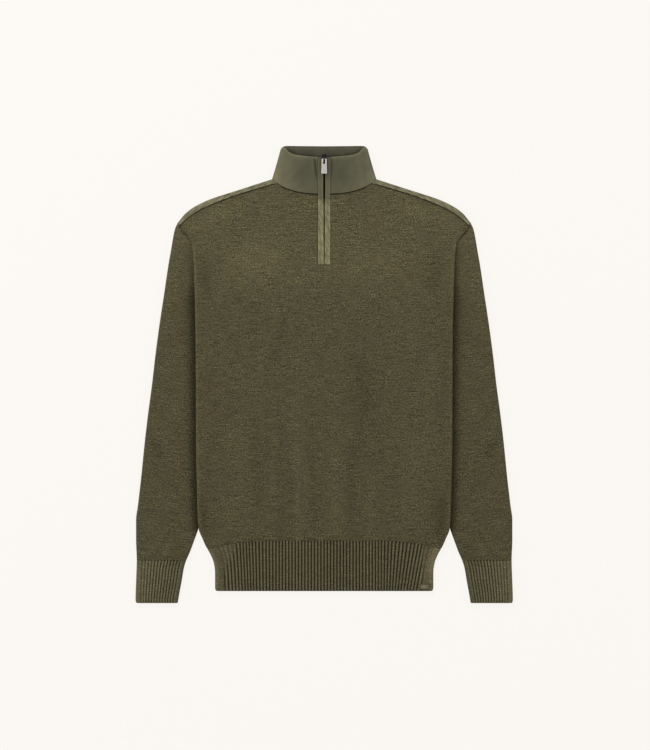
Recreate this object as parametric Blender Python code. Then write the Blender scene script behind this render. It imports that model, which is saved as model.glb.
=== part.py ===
"""Quarter zip sweater, laid flat and face up, as its cut and sewn pieces.

The garment lies on the plane z = 0 with its hem towards -Y, its collar towards +Y and its front facing +Z.
The origin is the middle of its outline, on the surface that it lies on. Sizes in this file are millimetres,
and new_mesh turns them into Blender's metres. The left and right halves mirror each other about x = 0.

Layers, from the floor up, at a side of the body: the sleeve's back and front, the front panel's edge, which
is folded under the body, and the front panel. The back panel lies on the floor between the sleeves.
"""

import math

import bmesh
import bpy
import numpy as np
from mathutils import Matrix, Vector

MM = 0.001
SEAM_GAP = 0.4

# Cloth thicknesses.
KNIT = 2.0
RIB_KNIT = 2.3
RIB_DEPTH = 1.0
COLLAR_CLOTH = 2.6
STRIP_CLOTH = 1.8
WELT_CLOTH = 1.7
TAPE_CLOTH = 0.8

# Heights of the stacked layers.
FRONT_HEIGHT = 7.6
COLLAR_BASE_HEIGHT = 13.0
COLLAR_RIM_HEIGHT = 23.0
COLLAR_SIDE_HEIGHT = 9.0
SHOULDER_HEIGHT = 8.4
SLEEVE_HEIGHT = 7.8
TUCKED_SLEEVE_HEIGHT = 4.8
HEM_HEIGHT = 7.8
LIFT_OVER_SLEEVE = 5.2
LAP_OVER_BACK = 2.4
LAP_OVER_SLEEVE = 5.2

# Plan of the garment.
HEM_END = -367.6
CUFF_END = -388.0
CUFF_SEAM = -315.6
HEM_SEAM = -282.4
HEM_SEAM_DROP = 13.8
HEM_SEAM_FLAT = 95.0
HEM_SIDE = 199.0
ARMPIT_Y = 222.0
ARMPIT_SHARE = 0.226
UNDERARM_Y = 106.7
WEDGE_Y = -261.2
SHOULDER_TIP_Y = 253.2
SHOULDER_TIP_X = 245.2
NECK_SIDE_X = 88.6
NECK_SIDE_Y = 331.5
NECK_CORNER_X = 79.5
COLLAR_TOP_X = 73.0
COLLAR_TOP_Y = 384.5
COLLAR_BOW = 4.6
BACK_NECK_CORNER_X = 65.0
STRIP_BACK_WIDTH = 14.0
BACK_INSET = 7.0

# Columns of the front's tucked edge: how far past the sleeve's inner fold, and at least past the side fold.
TUCK_PAST_SLEEVE = (5.0, -3.0, -14.0)
TUCK_LEAST = (3.0, 6.0, 9.0)

# Zip opening.
PLACKET_HALF = 10.8
PLACKET_END = 187.4
ZIP_TOP = 368.2
ZIP_GAP_HALF = 1.35
WELT_STEP = 0.4
NECK_SEAM_Y = 305.4

# Ribs: their pitches, and where a rib's crest starts and ends within it.
HEM_RIB = 5.36
CUFF_RIB = 5.0
CREST = (0.3, 0.7)
CUFF_FOLDS = 8.0

# Half width of the body at its side folds: height on the garment, half width.
BODY_SIDE = (
    (222.0, 224.0),
    (206.0, 222.7),
    (186.0, 221.3),
    (150.0, 220.2),
    (60.0, 218.3),
    (-9.0, 217.8),
    (-110.0, 217.6),
    (-186.0, 216.2),
    (-228.0, 215.2),
    (-261.2, 213.2),
    (-279.5, 206.2),
    (-293.0, 200.2),
    (-308.0, 191.8),
    (-321.0, 187.2),
    (-336.0, 185.3),
    (-362.0, 185.3),
    (-367.6, 183.6),
)

# Outer fold of the sleeve and cuff: height on the garment, distance from the centre line.
SLEEVE_OUTER = (
    (256.4, 248.8),
    (249.5, 252.5),
    (235.9, 255.9),
    (215.5, 259.3),
    (186.6, 264.4),
    (135.6, 272.0),
    (84.6, 279.7),
    (33.6, 286.5),
    (-17.4, 292.4),
    (-68.4, 299.2),
    (-119.4, 305.2),
    (-170.4, 310.3),
    (-221.4, 316.2),
    (-246.9, 319.4),
    (-280.9, 319.4),
    (-314.9, 318.2),
    (-348.9, 319.3),
    (-382.9, 320.3),
    (-388.0, 319.0),
)

# Inner edge of the sleeve, the armhole seam first and then the inner fold: height, distance from the centre.
SLEEVE_INNER = (
    (256.4, 248.8),
    (248.3, 243.0),
    (239.7, 235.5),
    (231.3, 228.0),
    (223.0, 224.3),
    (205.0, 217.0),
    (178.0, 203.0),
    (145.0, 180.0),
    (106.7, 143.0),
    (25.0, 156.7),
    (-77.0, 173.7),
    (-179.0, 192.4),
    (-261.2, 213.4),
    (-281.4, 220.5),
    (-300.5, 227.6),
    (-317.3, 234.8),
    (-329.2, 238.3),
    (-350.6, 241.9),
    (-369.7, 245.5),
    (-388.0, 248.6),
)

# Seam between the front and the collar and, past the neck corner, the shoulder strip: distance, height.
FRONT_TOP = (
    (0.0, 305.4),
    (12.4, 305.6),
    (26.3, 306.6),
    (41.0, 308.6),
    (55.6, 312.2),
    (68.7, 317.3),
    (79.5, 323.9),
    (100.5, 319.3),
    (124.8, 312.4),
    (148.9, 304.6),
    (174.9, 295.0),
    (200.9, 284.4),
    (218.5, 275.0),
    (235.8, 262.1),
    (245.2, 253.2),
)

# Outline of the shoulder, where the strip folds over: distance from the centre line, height.
SHOULDER_FOLD = (
    (60.0, 340.6),
    (88.9, 331.2),
    (114.2, 323.9),
    (140.3, 315.8),
    (166.3, 307.4),
    (192.3, 298.4),
    (218.5, 286.2),
    (235.8, 273.6),
    (248.6, 257.2),
)

# Collar edges in plan, each as distance from the centre line and height on the garment.
COLLAR_FRONT_BASE = (
    (0.0, 305.4),
    (26.3, 306.6),
    (41.0, 308.6),
    (55.6, 312.2),
    (68.7, 317.3),
    (79.5, 323.9),
    (NECK_SIDE_X, NECK_SIDE_Y),
)
COLLAR_FRONT_RIM = (
    (0.0, 368.4),
    (16.0, 369.0),
    (30.6, 370.2),
    (43.9, 372.2),
    (55.6, 375.6),
    (64.3, 379.8),
    (COLLAR_TOP_X, COLLAR_TOP_Y),
)
COLLAR_BACK_BASE = ((0.0, 324.0), (40.0, 324.3), (65.0, 325.2), (80.0, 327.6), (NECK_SIDE_X, NECK_SIDE_Y))
COLLAR_BACK_RIM = ((0.0, 387.4), (40.0, 387.8), (60.0, 388.0), (67.0, 387.6), (COLLAR_TOP_X, COLLAR_TOP_Y))

# Soft folds of the front: both ends, half width across the fold, and height (negative for a trough).
FRONT_FOLDS = (
    {"x0": -150, "y0": 190, "x1": -60, "y1": 235, "half": 38, "rise": 1.6},
    {"x0": 70, "y0": 235, "x1": 150, "y1": 195, "half": 36, "rise": 1.2},
    {"x0": -185, "y0": 215, "x1": -165, "y1": 110, "half": 20, "rise": -1.1},
    {"x0": 188, "y0": 210, "x1": 170, "y1": 95, "half": 22, "rise": -1.0},
    {"x0": -88, "y0": -60, "x1": -70, "y1": -268, "half": 17, "rise": -0.8},
    {"x0": -46, "y0": -30, "x1": -40, "y1": -274, "half": 15, "rise": 1.0},
    {"x0": -20, "y0": -120, "x1": -14, "y1": -270, "half": 13, "rise": -0.6},
    {"x0": 22, "y0": -90, "x1": 26, "y1": -272, "half": 15, "rise": 0.9},
    {"x0": 58, "y0": 20, "x1": 66, "y1": -262, "half": 18, "rise": -0.8},
    {"x0": 96, "y0": -120, "x1": 104, "y1": -266, "half": 16, "rise": 0.7},
    {"x0": -196, "y0": -252, "x1": 196, "y1": -252, "half": 24, "rise": 1.5},
)

# Soft folds of the right sleeve, in the same form.
SLEEVE_FOLDS = (
    {"x0": 250, "y0": 150, "x1": 272, "y1": 40, "half": 14, "rise": 0.7},
    {"x0": 240, "y0": -60, "x1": 300, "y1": -86, "half": 15, "rise": 0.8},
    {"x0": 236, "y0": -150, "x1": 304, "y1": -128, "half": 14, "rise": -0.7},
    {"x0": 240, "y0": -262, "x1": 312, "y1": -268, "half": 20, "rise": 1.0},
)

# Edges sharper than these angles, in degrees, are not smoothed.
SMOOTH_ANGLE = 50
RIB_SMOOTH_ANGLE = 20
METAL_SMOOTH_ANGLE = 40

# Colours are linear red, green and blue.
KNIT_COLOUR = (0.080, 0.070, 0.038)
RIB_COLOUR = (0.082, 0.071, 0.040)
WOVEN_COLOUR = (0.103, 0.099, 0.058)
WELT_COLOUR = (0.190, 0.175, 0.095)
TAPE_COLOUR = (0.010, 0.010, 0.006)
METAL_COLOUR = (0.62, 0.60, 0.58)
GUNMETAL_COLOUR = (0.06, 0.06, 0.06)
LABEL_COLOUR = (0.16, 0.12, 0.08)


def clear_scene():
    for thing in list(bpy.data.objects):
        bpy.data.objects.remove(thing, do_unlink=True)


def smooth(share):
    """Smooth step: 0 up to 0, 1 from 1, and level at both ends."""
    share = np.clip(share, 0.0, 1.0)
    return share * share * (3.0 - 2.0 * share)


def through(table, at):
    """Value, at some positions, of a monotone cubic curve through a table's rows of (position, value)."""
    rows = np.array(sorted(table), float)
    known, value = rows[:, 0], rows[:, 1]
    step = np.diff(known)
    slope = np.diff(value) / step
    tangent = np.zeros(len(known))
    tangent[0], tangent[-1] = slope[0], slope[-1]
    same_way = slope[:-1] * slope[1:] > 0
    harmonic = 2 * slope[:-1] * slope[1:] / np.where(same_way, slope[:-1] + slope[1:], 1.0)
    tangent[1:-1] = np.where(same_way, harmonic, 0.0)
    at = np.clip(np.asarray(at, float), known[0], known[-1])
    cell = np.clip(np.searchsorted(known, at) - 1, 0, len(step) - 1)
    t = (at - known[cell]) / step[cell]
    h = step[cell]
    start, end = value[cell], value[cell + 1]
    start_tangent, end_tangent = tangent[cell], tangent[cell + 1]
    rise = (2 * t**3 - 3 * t**2 + 1) * start + (3 * t**2 - 2 * t**3) * end
    return rise + h * ((t**3 - 2 * t**2 + t) * start_tangent + (t**3 - t**2) * end_tangent)


def steps(*stretches):
    """Positions along a line, from stretches of (end, pieces) that start at 0."""
    found = [0.0]
    for end, pieces in stretches:
        found.extend(np.linspace(found[-1], end, pieces + 1)[1:])
    return np.array(found)


def fold_relief(folds, x, y):
    """Height of soft folds: each falls off as a bell across its line and fades out at its ends."""
    total = np.zeros(np.broadcast(x, y).shape)
    for fold in folds:
        along = np.array([fold["x1"] - fold["x0"], fold["y1"] - fold["y0"]], float)
        length = np.hypot(*along)
        along /= length
        run = (x - fold["x0"]) * along[0] + (y - fold["y0"]) * along[1]
        aside = (x - fold["x0"]) * along[1] - (y - fold["y0"]) * along[0]
        ends = smooth(run / (0.35 * length)) * smooth((length - run) / (0.35 * length))
        total = total + fold["rise"] * ends * np.exp(-((aside / fold["half"]) ** 2))
    return total


# ---------------------------------------------------------------- heights of the layers


def body_half(y):
    return through(BODY_SIDE, y)


def inner_edge(y):
    return through(SLEEVE_INNER, y)


def front_top_line(x):
    return through(FRONT_TOP, np.abs(x))


def hem_line(x):
    """Height on the garment of the seam above the hem rib, which drops towards the sides."""
    aside = np.clip((np.abs(x) - HEM_SEAM_FLAT) / (HEM_SIDE - HEM_SEAM_FLAT), 0, 1.2)
    return HEM_SEAM - HEM_SEAM_DROP * aside**2


def neck_height(x):
    """Top of the cloth along the neck and shoulder seams."""
    share = np.clip(np.abs(x) / NECK_SIDE_X, 0, 1)
    return SHOULDER_HEIGHT + (COLLAR_BASE_HEIGHT - SHOULDER_HEIGHT) * (1 - share**2)


def front_height(x, y):
    """Outer surface of the front: low over the back, higher over the tucked sleeves and at the neck."""
    x, y = np.broadcast_arrays(np.asarray(x, float), np.asarray(y, float))
    aside = np.abs(x)
    over_sleeve = smooth((aside - inner_edge(y) + 30) / 50) * smooth((256 - y) / 56)
    down = np.clip(front_top_line(x) - y, 0, None)
    near_neck = (neck_height(x) - FRONT_HEIGHT) * np.exp(-((down / 42) ** 2))
    near_hem = (HEM_HEIGHT - FRONT_HEIGHT) * np.exp(-(((y - hem_line(x)) / 20) ** 2))
    flat = FRONT_HEIGHT + LIFT_OVER_SLEEVE * over_sleeve + near_neck + near_hem
    edge = smooth((body_half(np.minimum(y, ARMPIT_Y)) - aside) / 40) * smooth(down / 40)
    return flat + fold_relief(FRONT_FOLDS, x, y) * edge * smooth((y - hem_line(x)) / 14)


def lap_height(x, y):
    """Lower surface of the front's edge that is folded under: over the back panel, and over the sleeve."""
    over = smooth((np.abs(x) - inner_edge(y) + 13) / 9)
    over = (1 - (1 - over) * smooth((UNDERARM_Y - 80 - y) / 25)) * smooth((y + 296) / 24)
    return LAP_OVER_BACK + (LAP_OVER_SLEEVE - LAP_OVER_BACK) * over


def sleeve_height(x, y):
    """Outer surface of a sleeve's upper layer: pressed down where the body lies on it."""
    pressed = smooth((body_half(np.minimum(y, ARMPIT_Y)) + 24 - np.abs(x)) / 22)
    pressed = pressed * smooth((ARMPIT_Y - y) / 25) * smooth((y - WEDGE_Y + 32) / 30)
    folds = fold_relief(SLEEVE_FOLDS, np.abs(x), y) * (1 - pressed) * smooth((y - CUFF_SEAM) / 16)
    return SLEEVE_HEIGHT - (SLEEVE_HEIGHT - TUCKED_SLEEVE_HEIGHT) * pressed + folds


def centre_height(y):
    """Top of the cloth beside the zip, from the placket's foot to the collar's rim."""
    share = (y - NECK_SEAM_Y) / (ZIP_TOP - NECK_SEAM_Y)
    return np.where(y < NECK_SEAM_Y, front_height(PLACKET_HALF, y), collar_height(PLACKET_HALF / 80, share))


def collar_height(across, up):
    """Outer surface of the collar's front: a crown from fold to fold that rises towards the rim."""
    crown = COLLAR_BASE_HEIGHT + (COLLAR_RIM_HEIGHT - COLLAR_BASE_HEIGHT) * smooth(0.5 + 0.5 * up) * 2
    crown = crown - (COLLAR_RIM_HEIGHT - COLLAR_BASE_HEIGHT)
    side = SHOULDER_HEIGHT + (COLLAR_SIDE_HEIGHT - SHOULDER_HEIGHT) * np.clip(up, 0, 1)
    return side + (crown - side) * (1 - across**2)


# ---------------------------------------------------------------- solids from surfaces


def material(name, colour, roughness, metallic=0.0):
    made = bpy.data.materials.get(name) or bpy.data.materials.new(name)
    made.use_nodes = True
    shader = made.node_tree.nodes["Principled BSDF"]
    shader.inputs["Base Color"].default_value = (*colour, 1.0)
    shader.inputs["Roughness"].default_value = roughness
    shader.inputs["Metallic"].default_value = metallic
    return made


def new_object(name, mesh, finish, collection, smooth_angle):
    mesh.materials.clear()
    mesh.materials.append(finish)
    made = bpy.data.objects.new(name, mesh)
    collection.objects.link(made)
    mesh.shade_smooth()
    mesh.set_sharp_from_angle(angle=math.radians(smooth_angle))
    return made


def new_mesh(name, points, faces):
    mesh = bpy.data.meshes.new(name)
    mesh.from_pydata((np.asarray(points) * MM).tolist(), [], [tuple(int(i) for i in face) for face in faces])
    mesh.update()
    return mesh


def normals(grid, ring):
    """Unit normals of a grid of points (rows, columns, 3); ring says that each row closes on itself."""
    if ring:
        across = np.roll(grid, -1, axis=1) - np.roll(grid, 1, axis=1)
    else:
        across = np.gradient(grid, axis=1)
    along = np.gradient(grid, axis=0)
    found = np.cross(across, along)
    return found / np.maximum(np.linalg.norm(found, axis=2, keepdims=True), 1e-9)


def wall(name, outer, inner, ring=False, kept=None):
    """A closed solid between two grids of points, whose rim joins them wherever a cell has no neighbour.

    outer and inner have the shape (rows, columns, 3). kept says which cells exist, in case of a notch.
    """
    rows, columns = outer.shape[:2]
    cells = columns if ring else columns - 1
    if kept is None:
        kept = np.ones((rows - 1, cells), bool)
    number = np.arange(rows * columns).reshape(rows, columns)
    number = np.concatenate([number, number[:, :1]], axis=1)
    near, far = number[:-1, :cells][kept], number[1:, :cells][kept]
    near_next, far_next = number[:-1, 1 : cells + 1][kept], number[1:, 1 : cells + 1][kept]
    cover = np.stack([near, near_next, far_next, far], axis=1)
    ends = np.concatenate([cover[:, [i, (i + 1) % 4]] for i in range(4)])
    pairs = {tuple(edge) for edge in ends.tolist()}
    rim = np.array([edge for edge in ends.tolist() if (edge[1], edge[0]) not in pairs])
    below = rows * columns
    lining = cover[:, ::-1] + below
    sides = np.stack([rim[:, 1], rim[:, 0], rim[:, 0] + below, rim[:, 1] + below], axis=1)
    points = np.concatenate([outer.reshape(-1, 3), inner.reshape(-1, 3)])
    used = np.unique(np.concatenate([cover.ravel(), lining.ravel()]))
    place = np.zeros(len(points), int)
    place[used] = np.arange(len(used))
    return new_mesh(name, points[used], place[np.concatenate([cover, lining, sides])])


def cloth(name, outer, thickness, finish, collection, ring=False, kept=None, raised=None, turn=1):
    """A wall of cloth from its outer surface. raised moves the outer points out over a plain inside."""
    out = normals(outer, ring) * turn
    inner = outer - out * thickness
    if raised is not None:
        outer = outer + out * raised[..., None]
    if turn < 0:
        outer, inner = outer[:, ::-1], inner[:, ::-1]
        kept = None if kept is None else kept[:, ::-1]
    angle = SMOOTH_ANGLE if raised is None else RIB_SMOOTH_ANGLE
    return new_object(name, wall(name, outer, inner, ring, kept), finish, collection, angle)


def both_sides(half):
    """A row or grid of columns from the centre line outwards, with its mirror image put before it."""
    flipped = half[:, ::-1] * np.array([-1.0, 1.0, 1.0])
    return np.concatenate([flipped, half], axis=1)


# ---------------------------------------------------------------- front and back


def fold_sweep(y):
    """Angle that the front's edge turns through at a side: none at the armpit, half a turn below it."""
    return 0.12 + (math.pi - 0.12) * smooth((ARMPIT_Y - y) / 40)


def side_path(y):
    """Points of the front's side fold and tucked edge, for each height: (rows, columns, 3)."""
    half = body_half(y)
    sweep = fold_sweep(y)
    tip = half - 1.0
    radius = np.maximum(2.5, (front_height(tip - 3, y) - lap_height(tip - 3, y)) / 2)
    start = half - radius * np.sin(np.minimum(sweep, math.pi / 2))
    top = front_height(start, y)
    turn = sweep[:, None] * np.linspace(0, 1, 6)[None, 1:]
    fold_x = start[:, None] + radius[:, None] * np.sin(turn)
    fold_z = top[:, None] - radius[:, None] * (1 - np.cos(turn))
    inner = inner_edge(y)
    reach = np.where(y > UNDERARM_Y, 0.2, 0.2 + 0.8 * smooth((UNDERARM_Y - y) / 40))
    share = np.linspace(0, 1, 4)[None, 1:]
    past_sleeve = inner[:, None] + np.array([TUCK_PAST_SLEEVE])
    tucked = np.minimum(past_sleeve, start[:, None] - np.array([TUCK_LEAST]))
    tucked = start[:, None] + (tucked - start[:, None]) * reach[:, None]
    whole = (sweep > math.pi - 1e-6)[:, None]
    tuck_x = np.where(whole, tucked, fold_x[:, -1:] + 0.5 * share * np.cos(sweep)[:, None])
    level = np.where(whole, lap_height(tuck_x, y[:, None]), 0.0)
    join = fold_z[:, -1:] - lap_height(start, y)[:, None]
    short_z = fold_z[:, -1:] - 0.5 * share * np.sin(sweep)[:, None]
    tuck_z = np.where(whole, level + join * (1 - share), short_z)
    x = np.concatenate([fold_x, tuck_x], axis=1)
    z = np.concatenate([fold_z, tuck_z], axis=1)
    return start, np.stack([x, np.broadcast_to(y[:, None], x.shape), z], axis=2)


def strip_columns():
    """Distances from the centre line of the points that the front and the shoulder strip share."""
    return np.linspace(NECK_CORNER_X, SHOULDER_TIP_X, 9)


def back_strip_columns():
    """Distances from the centre line of the points that the back and the shoulder strip share."""
    return np.linspace(BACK_NECK_CORNER_X, SHOULDER_TIP_X - 3, 9)


def make_front(finish, collection):
    """The front panel, with the notch for the zip and its edges folded under the body."""
    notch = PLACKET_HALF + SEAM_GAP
    neck = np.linspace(notch, NECK_CORNER_X, 6)
    columns = np.concatenate([neck, strip_columns()[1:]])
    share = (columns - notch) / (SHOULDER_TIP_X - notch)
    top = front_top_line(columns) - SEAM_GAP
    top[-1] = SHOULDER_TIP_Y - SEAM_GAP
    notch_row = (top[0] - PLACKET_END + SEAM_GAP) / (top[0] - HEM_SEAM)
    armpit_row = (top[-1] - ARMPIT_Y) / (top[-1] - HEM_SEAM + HEM_SEAM_DROP)
    down = steps((armpit_row, 3), (notch_row, 4), (0.86, 7), (1.0, 4))

    def edge(y):
        below = side_path(np.minimum(y, ARMPIT_Y).ravel())[0].reshape(y.shape)
        return np.where(y > ARMPIT_Y, np.minimum(inner_edge(y) - SEAM_GAP, SHOULDER_TIP_X), below)

    foot = np.full_like(columns, HEM_SEAM)
    for _ in range(4):
        foot = hem_line(notch + (edge(foot) - notch) * share) + SEAM_GAP
    y = top + (foot - top) * down[:, None]
    x = notch + (edge(y) - notch) * share
    sheet = np.stack([x, y, front_height(x, y)], axis=2)
    side_y = y[:, -1]
    roll = side_path(np.minimum(side_y, ARMPIT_Y))[1]
    roll[..., 1] = side_y[:, None]
    half = np.concatenate([sheet, roll], axis=1)
    outer = both_sides(half)
    kept = np.ones((outer.shape[0] - 1, outer.shape[1] - 1), bool)
    row_of_armpit, row_of_notch = 3, 7
    rolls = roll.shape[1]
    kept[:row_of_armpit, :rolls] = False
    kept[:row_of_armpit, -rolls:] = False
    kept[:row_of_notch, half.shape[1] - 1] = False
    return cloth("front", outer, KNIT, finish, collection, kept=kept, turn=-1)


def back_half(y):
    """Half width of the back panel: up to the armhole seam, the tucked sleeve or the side fold."""
    fold = body_half(np.minimum(y, UNDERARM_Y)) - BACK_INSET
    return np.where(y > UNDERARM_Y, inner_edge(y) - 1.9, np.minimum(inner_edge(y) - 1.9, fold))


def make_back(finish, collection):
    """The back panel, flat on the floor, from the back neck and the shoulder strips to the hem rib."""
    tip_x = SHOULDER_TIP_X - 3
    columns = np.concatenate([np.linspace(0, BACK_NECK_CORNER_X, 4), back_strip_columns()[1:]])
    strip_edge = through(SHOULDER_FOLD, columns) - STRIP_BACK_WIDTH - SEAM_GAP
    neck_edge = through(COLLAR_BACK_BASE, columns) - SEAM_GAP
    top = np.where(columns <= BACK_NECK_CORNER_X, neck_edge, strip_edge)
    share = columns / tip_x

    def edge(y):
        return np.minimum(back_half(y), tip_x)

    foot = np.full_like(columns, HEM_SEAM)
    for _ in range(4):
        foot = hem_line(edge(foot) * share) + SEAM_GAP
    underarm_row = (top[-1] - UNDERARM_Y) / (top[-1] - foot[-1])
    down = steps((underarm_row, 7), (0.9, 6), (1.0, 3))
    y = top + (foot - top) * down[:, None]
    x = edge(y) * share
    half = np.stack([x, y, np.zeros_like(x)], axis=2)
    under = np.concatenate([half[:, :0:-1] * np.array([-1.0, 1.0, 1.0]), half], axis=1)
    return cloth("back", under, KNIT, finish, collection)


# ---------------------------------------------------------------- sleeves, cuffs and hem


def flat_tube(outer_fold, inner_fold, bend, height, columns, lower_columns, fold_pieces=5):
    """Rings of a tube laid flat: upper layer, inner fold, lower layer on the floor, outer fold.

    The folds are (rows, 2) points in plan, bend(share) moves a ring off the straight line between them, and
    height(x, y) is the upper layer's top. columns and lower_columns are shares of the way across.
    """
    span = inner_fold - outer_fold
    width = np.linalg.norm(span, axis=1)

    def place(share):
        flat = outer_fold[:, None] + span[:, None] * share[..., None]
        return flat + bend(share)

    def edge_radius(share):
        flat = place(np.full((len(width), 1), share))
        return height(flat[..., 0], flat[..., 1])[:, 0] / 2

    outer_radius = edge_radius(0.04)
    inner_radius = edge_radius(0.96)
    first, last = outer_radius / width, 1 - inner_radius / width
    across = first[:, None] + (last - first)[:, None] * columns[None]
    upper = place(across)
    upper_z = height(upper[..., 0], upper[..., 1])
    upper_z[:, 0], upper_z[:, -1] = 2 * outer_radius, 2 * inner_radius
    turn = np.linspace(0, math.pi, fold_pieces + 1)[None, 1:-1]
    inner_share = last[:, None] + (inner_radius / width)[:, None] * np.sin(turn)
    inner_z = inner_radius[:, None] * (1 + np.cos(turn))
    lower = place(first[:, None] + (last - first)[:, None] * lower_columns[None, ::-1])
    outer_share = first[:, None] - (outer_radius / width)[:, None] * np.sin(turn)
    outer_z = outer_radius[:, None] * (1 - np.cos(turn))
    plan = np.concatenate([upper, place(inner_share), lower, place(outer_share)], axis=1)
    z = np.concatenate([upper_z, inner_z, np.zeros(lower.shape[:2]), outer_z], axis=1)
    return np.concatenate([plan, z[..., None]], axis=2)


def armhole_bend(share):
    """How far the armhole seam strays from the straight line between its ends, in plan."""
    rows = np.array([row for row in SLEEVE_INNER if row[0] >= UNDERARM_Y])[:, ::-1]
    span = rows[-1] - rows[0]
    at = (rows - rows[0]) @ span / (span @ span)
    stray = rows - (rows[0] + at[:, None] * span)
    return np.stack([through(list(zip(at, stray[:, i])), share) for i in (0, 1)], axis=-1)


def make_sleeve(side, finish, collection):
    """A sleeve, laid flat, from the armhole seam to the cuff; side is 1 at +X and -1 at -X."""
    down = steps((0.12, 4), (0.3, 3), (0.8, 6), (1.0, 4))
    outer_y = 256.2 + (CUFF_SEAM + SEAM_GAP - 256.2) * down
    inner_y = UNDERARM_Y + (CUFF_SEAM + SEAM_GAP - UNDERARM_Y) * down
    outer_fold = np.stack([through(SLEEVE_OUTER, outer_y), outer_y], axis=1)
    inner_fold = np.stack([inner_edge(inner_y), inner_y], axis=1)
    fade = ((1 - down) ** 3)[:, None, None]
    columns = steps((ARMPIT_SHARE, 4), (0.5, 3), (1.0, 4))
    lower_columns = steps((ARMPIT_SHARE, 2), (1.0, 4))

    def bend(share):
        return fade * armhole_bend(share)

    grid = flat_tube(outer_fold, inner_fold, bend, sleeve_height, columns, lower_columns)
    grid[..., 0] *= side
    name = "sleeve_right" if side > 0 else "sleeve_left"
    return cloth(name, grid, KNIT, finish, collection, ring=True, turn=side)


def rib_columns(ribs):
    """Shares of the way across a row of ribs, with three to a rib: its groove and both edges of its crest."""
    start = np.arange(ribs)[:, None] + np.array([[0.0, *CREST]])
    return np.append(start.ravel(), ribs) / ribs


def rib_relief(ribs):
    """How far each of those columns is moved out: not at all on a crest, and inwards in a groove."""
    relief = np.tile([-RIB_DEPTH, 0.0, 0.0], ribs)
    relief[0] = 0.0
    return np.append(relief, 0.0)


def cuff_height(x, y):
    return np.full(np.broadcast(x, y).shape, SLEEVE_HEIGHT)


def make_cuff(side, finish, collection):
    """A ribbed cuff, laid flat; its underside is plain where it rests."""
    end_y = np.array([CUFF_SEAM, -330.0, -352.0, -380.0, CUFF_END])
    outer_fold = np.stack([through(SLEEVE_OUTER, end_y), end_y], axis=1)
    inner_fold = np.stack([inner_edge(end_y), end_y], axis=1)
    ribs = int(round((outer_fold[2, 0] - inner_fold[2, 0] - CUFF_FOLDS) / CUFF_RIB))
    columns = rib_columns(ribs)
    lower_columns = np.linspace(0, 1, 4)
    grid = flat_tube(outer_fold, inner_fold, lambda share: 0.0, cuff_height, columns, lower_columns)
    raised = np.zeros(grid.shape[:2])
    raised[:, : len(columns)] = rib_relief(ribs)
    grid[..., 0] *= side
    name = "cuff_right" if side > 0 else "cuff_left"
    return cloth(name, grid, RIB_KNIT, finish, collection, ring=True, raised=raised, turn=side)


def hem_height(x, y):
    return np.full(np.broadcast(x, y).shape, HEM_HEIGHT)


def make_hem(finish, collection):
    """The ribbed hem, a tube laid flat, whose top seam drops towards the sides."""
    end_y = np.array([HEM_SEAM - SEAM_GAP, -308.0, -338.0, HEM_END + 4, HEM_END])
    fade = (HEM_END - end_y) / (HEM_END - HEM_SEAM)
    half = body_half(end_y - HEM_SEAM_DROP * fade)
    left = np.stack([-half, end_y], axis=1)
    right = np.stack([half, end_y], axis=1)
    ribs = 2 * int(round(half[2] / HEM_RIB))
    columns = rib_columns(ribs)
    lower_columns = np.linspace(0, 1, 13)

    def bend(share):
        drop = fade[:, None] * (hem_line((2 * share - 1) * half[0]) - HEM_SEAM)
        return np.stack([np.zeros_like(drop), drop], axis=2)

    grid = flat_tube(left, right, bend, hem_height, columns, lower_columns)
    raised = np.zeros(grid.shape[:2])
    raised[:, : len(columns)] = rib_relief(ribs)
    return cloth("hem", grid, RIB_KNIT, finish, collection, ring=True, raised=raised, turn=-1)


# ---------------------------------------------------------------- shoulder strips and collar


def make_shoulder_strip(side, finish, collection):
    """The strip over a shoulder, from the front seam over the fold to the back seam."""
    front_x = strip_columns()
    back_x = back_strip_columns()
    along = np.linspace(0, 1, len(front_x))
    fold_x = NECK_SIDE_X + 0.5 + (SLEEVE_OUTER[0][1] - 0.8 - NECK_SIDE_X) * along
    front = np.stack([front_x, front_top_line(front_x)], axis=1)
    fold = np.stack([fold_x, through(SHOULDER_FOLD, fold_x)], axis=1)
    back = np.stack([back_x, through(SHOULDER_FOLD, back_x) - STRIP_BACK_WIDTH], axis=1)
    height = front_height(front_x, front[:, 1])
    radius = height / 2
    outward = fold - front
    outward /= np.linalg.norm(outward, axis=1, keepdims=True)
    inset = fold - outward * (0.9 * radius)[:, None]
    flat = front[:, None] + (inset - front)[:, None] * np.linspace(0, 1, 3)[None, :, None]
    turn = np.linspace(0, math.pi, 7)[None, 1:]
    roll = inset[:, None] + outward[:, None] * (0.9 * radius[:, None] * np.sin(turn))[..., None]
    under = inset[:, None] + (back - inset)[:, None] * np.linspace(0, 1, 3)[None, 1:, None]
    plan = np.concatenate([flat, roll, under], axis=1)
    roll_z = radius[:, None] * (1 + np.cos(turn))
    z = np.concatenate([np.repeat(height[:, None], 3, 1), roll_z, np.zeros((len(along), 2))], axis=1)
    grid = np.concatenate([plan, z[..., None]], axis=2)
    grid[..., 0] *= side
    name = "shoulder_strip_right" if side > 0 else "shoulder_strip_left"
    return cloth(name, grid, STRIP_CLOTH, finish, collection, turn=-side)


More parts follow.
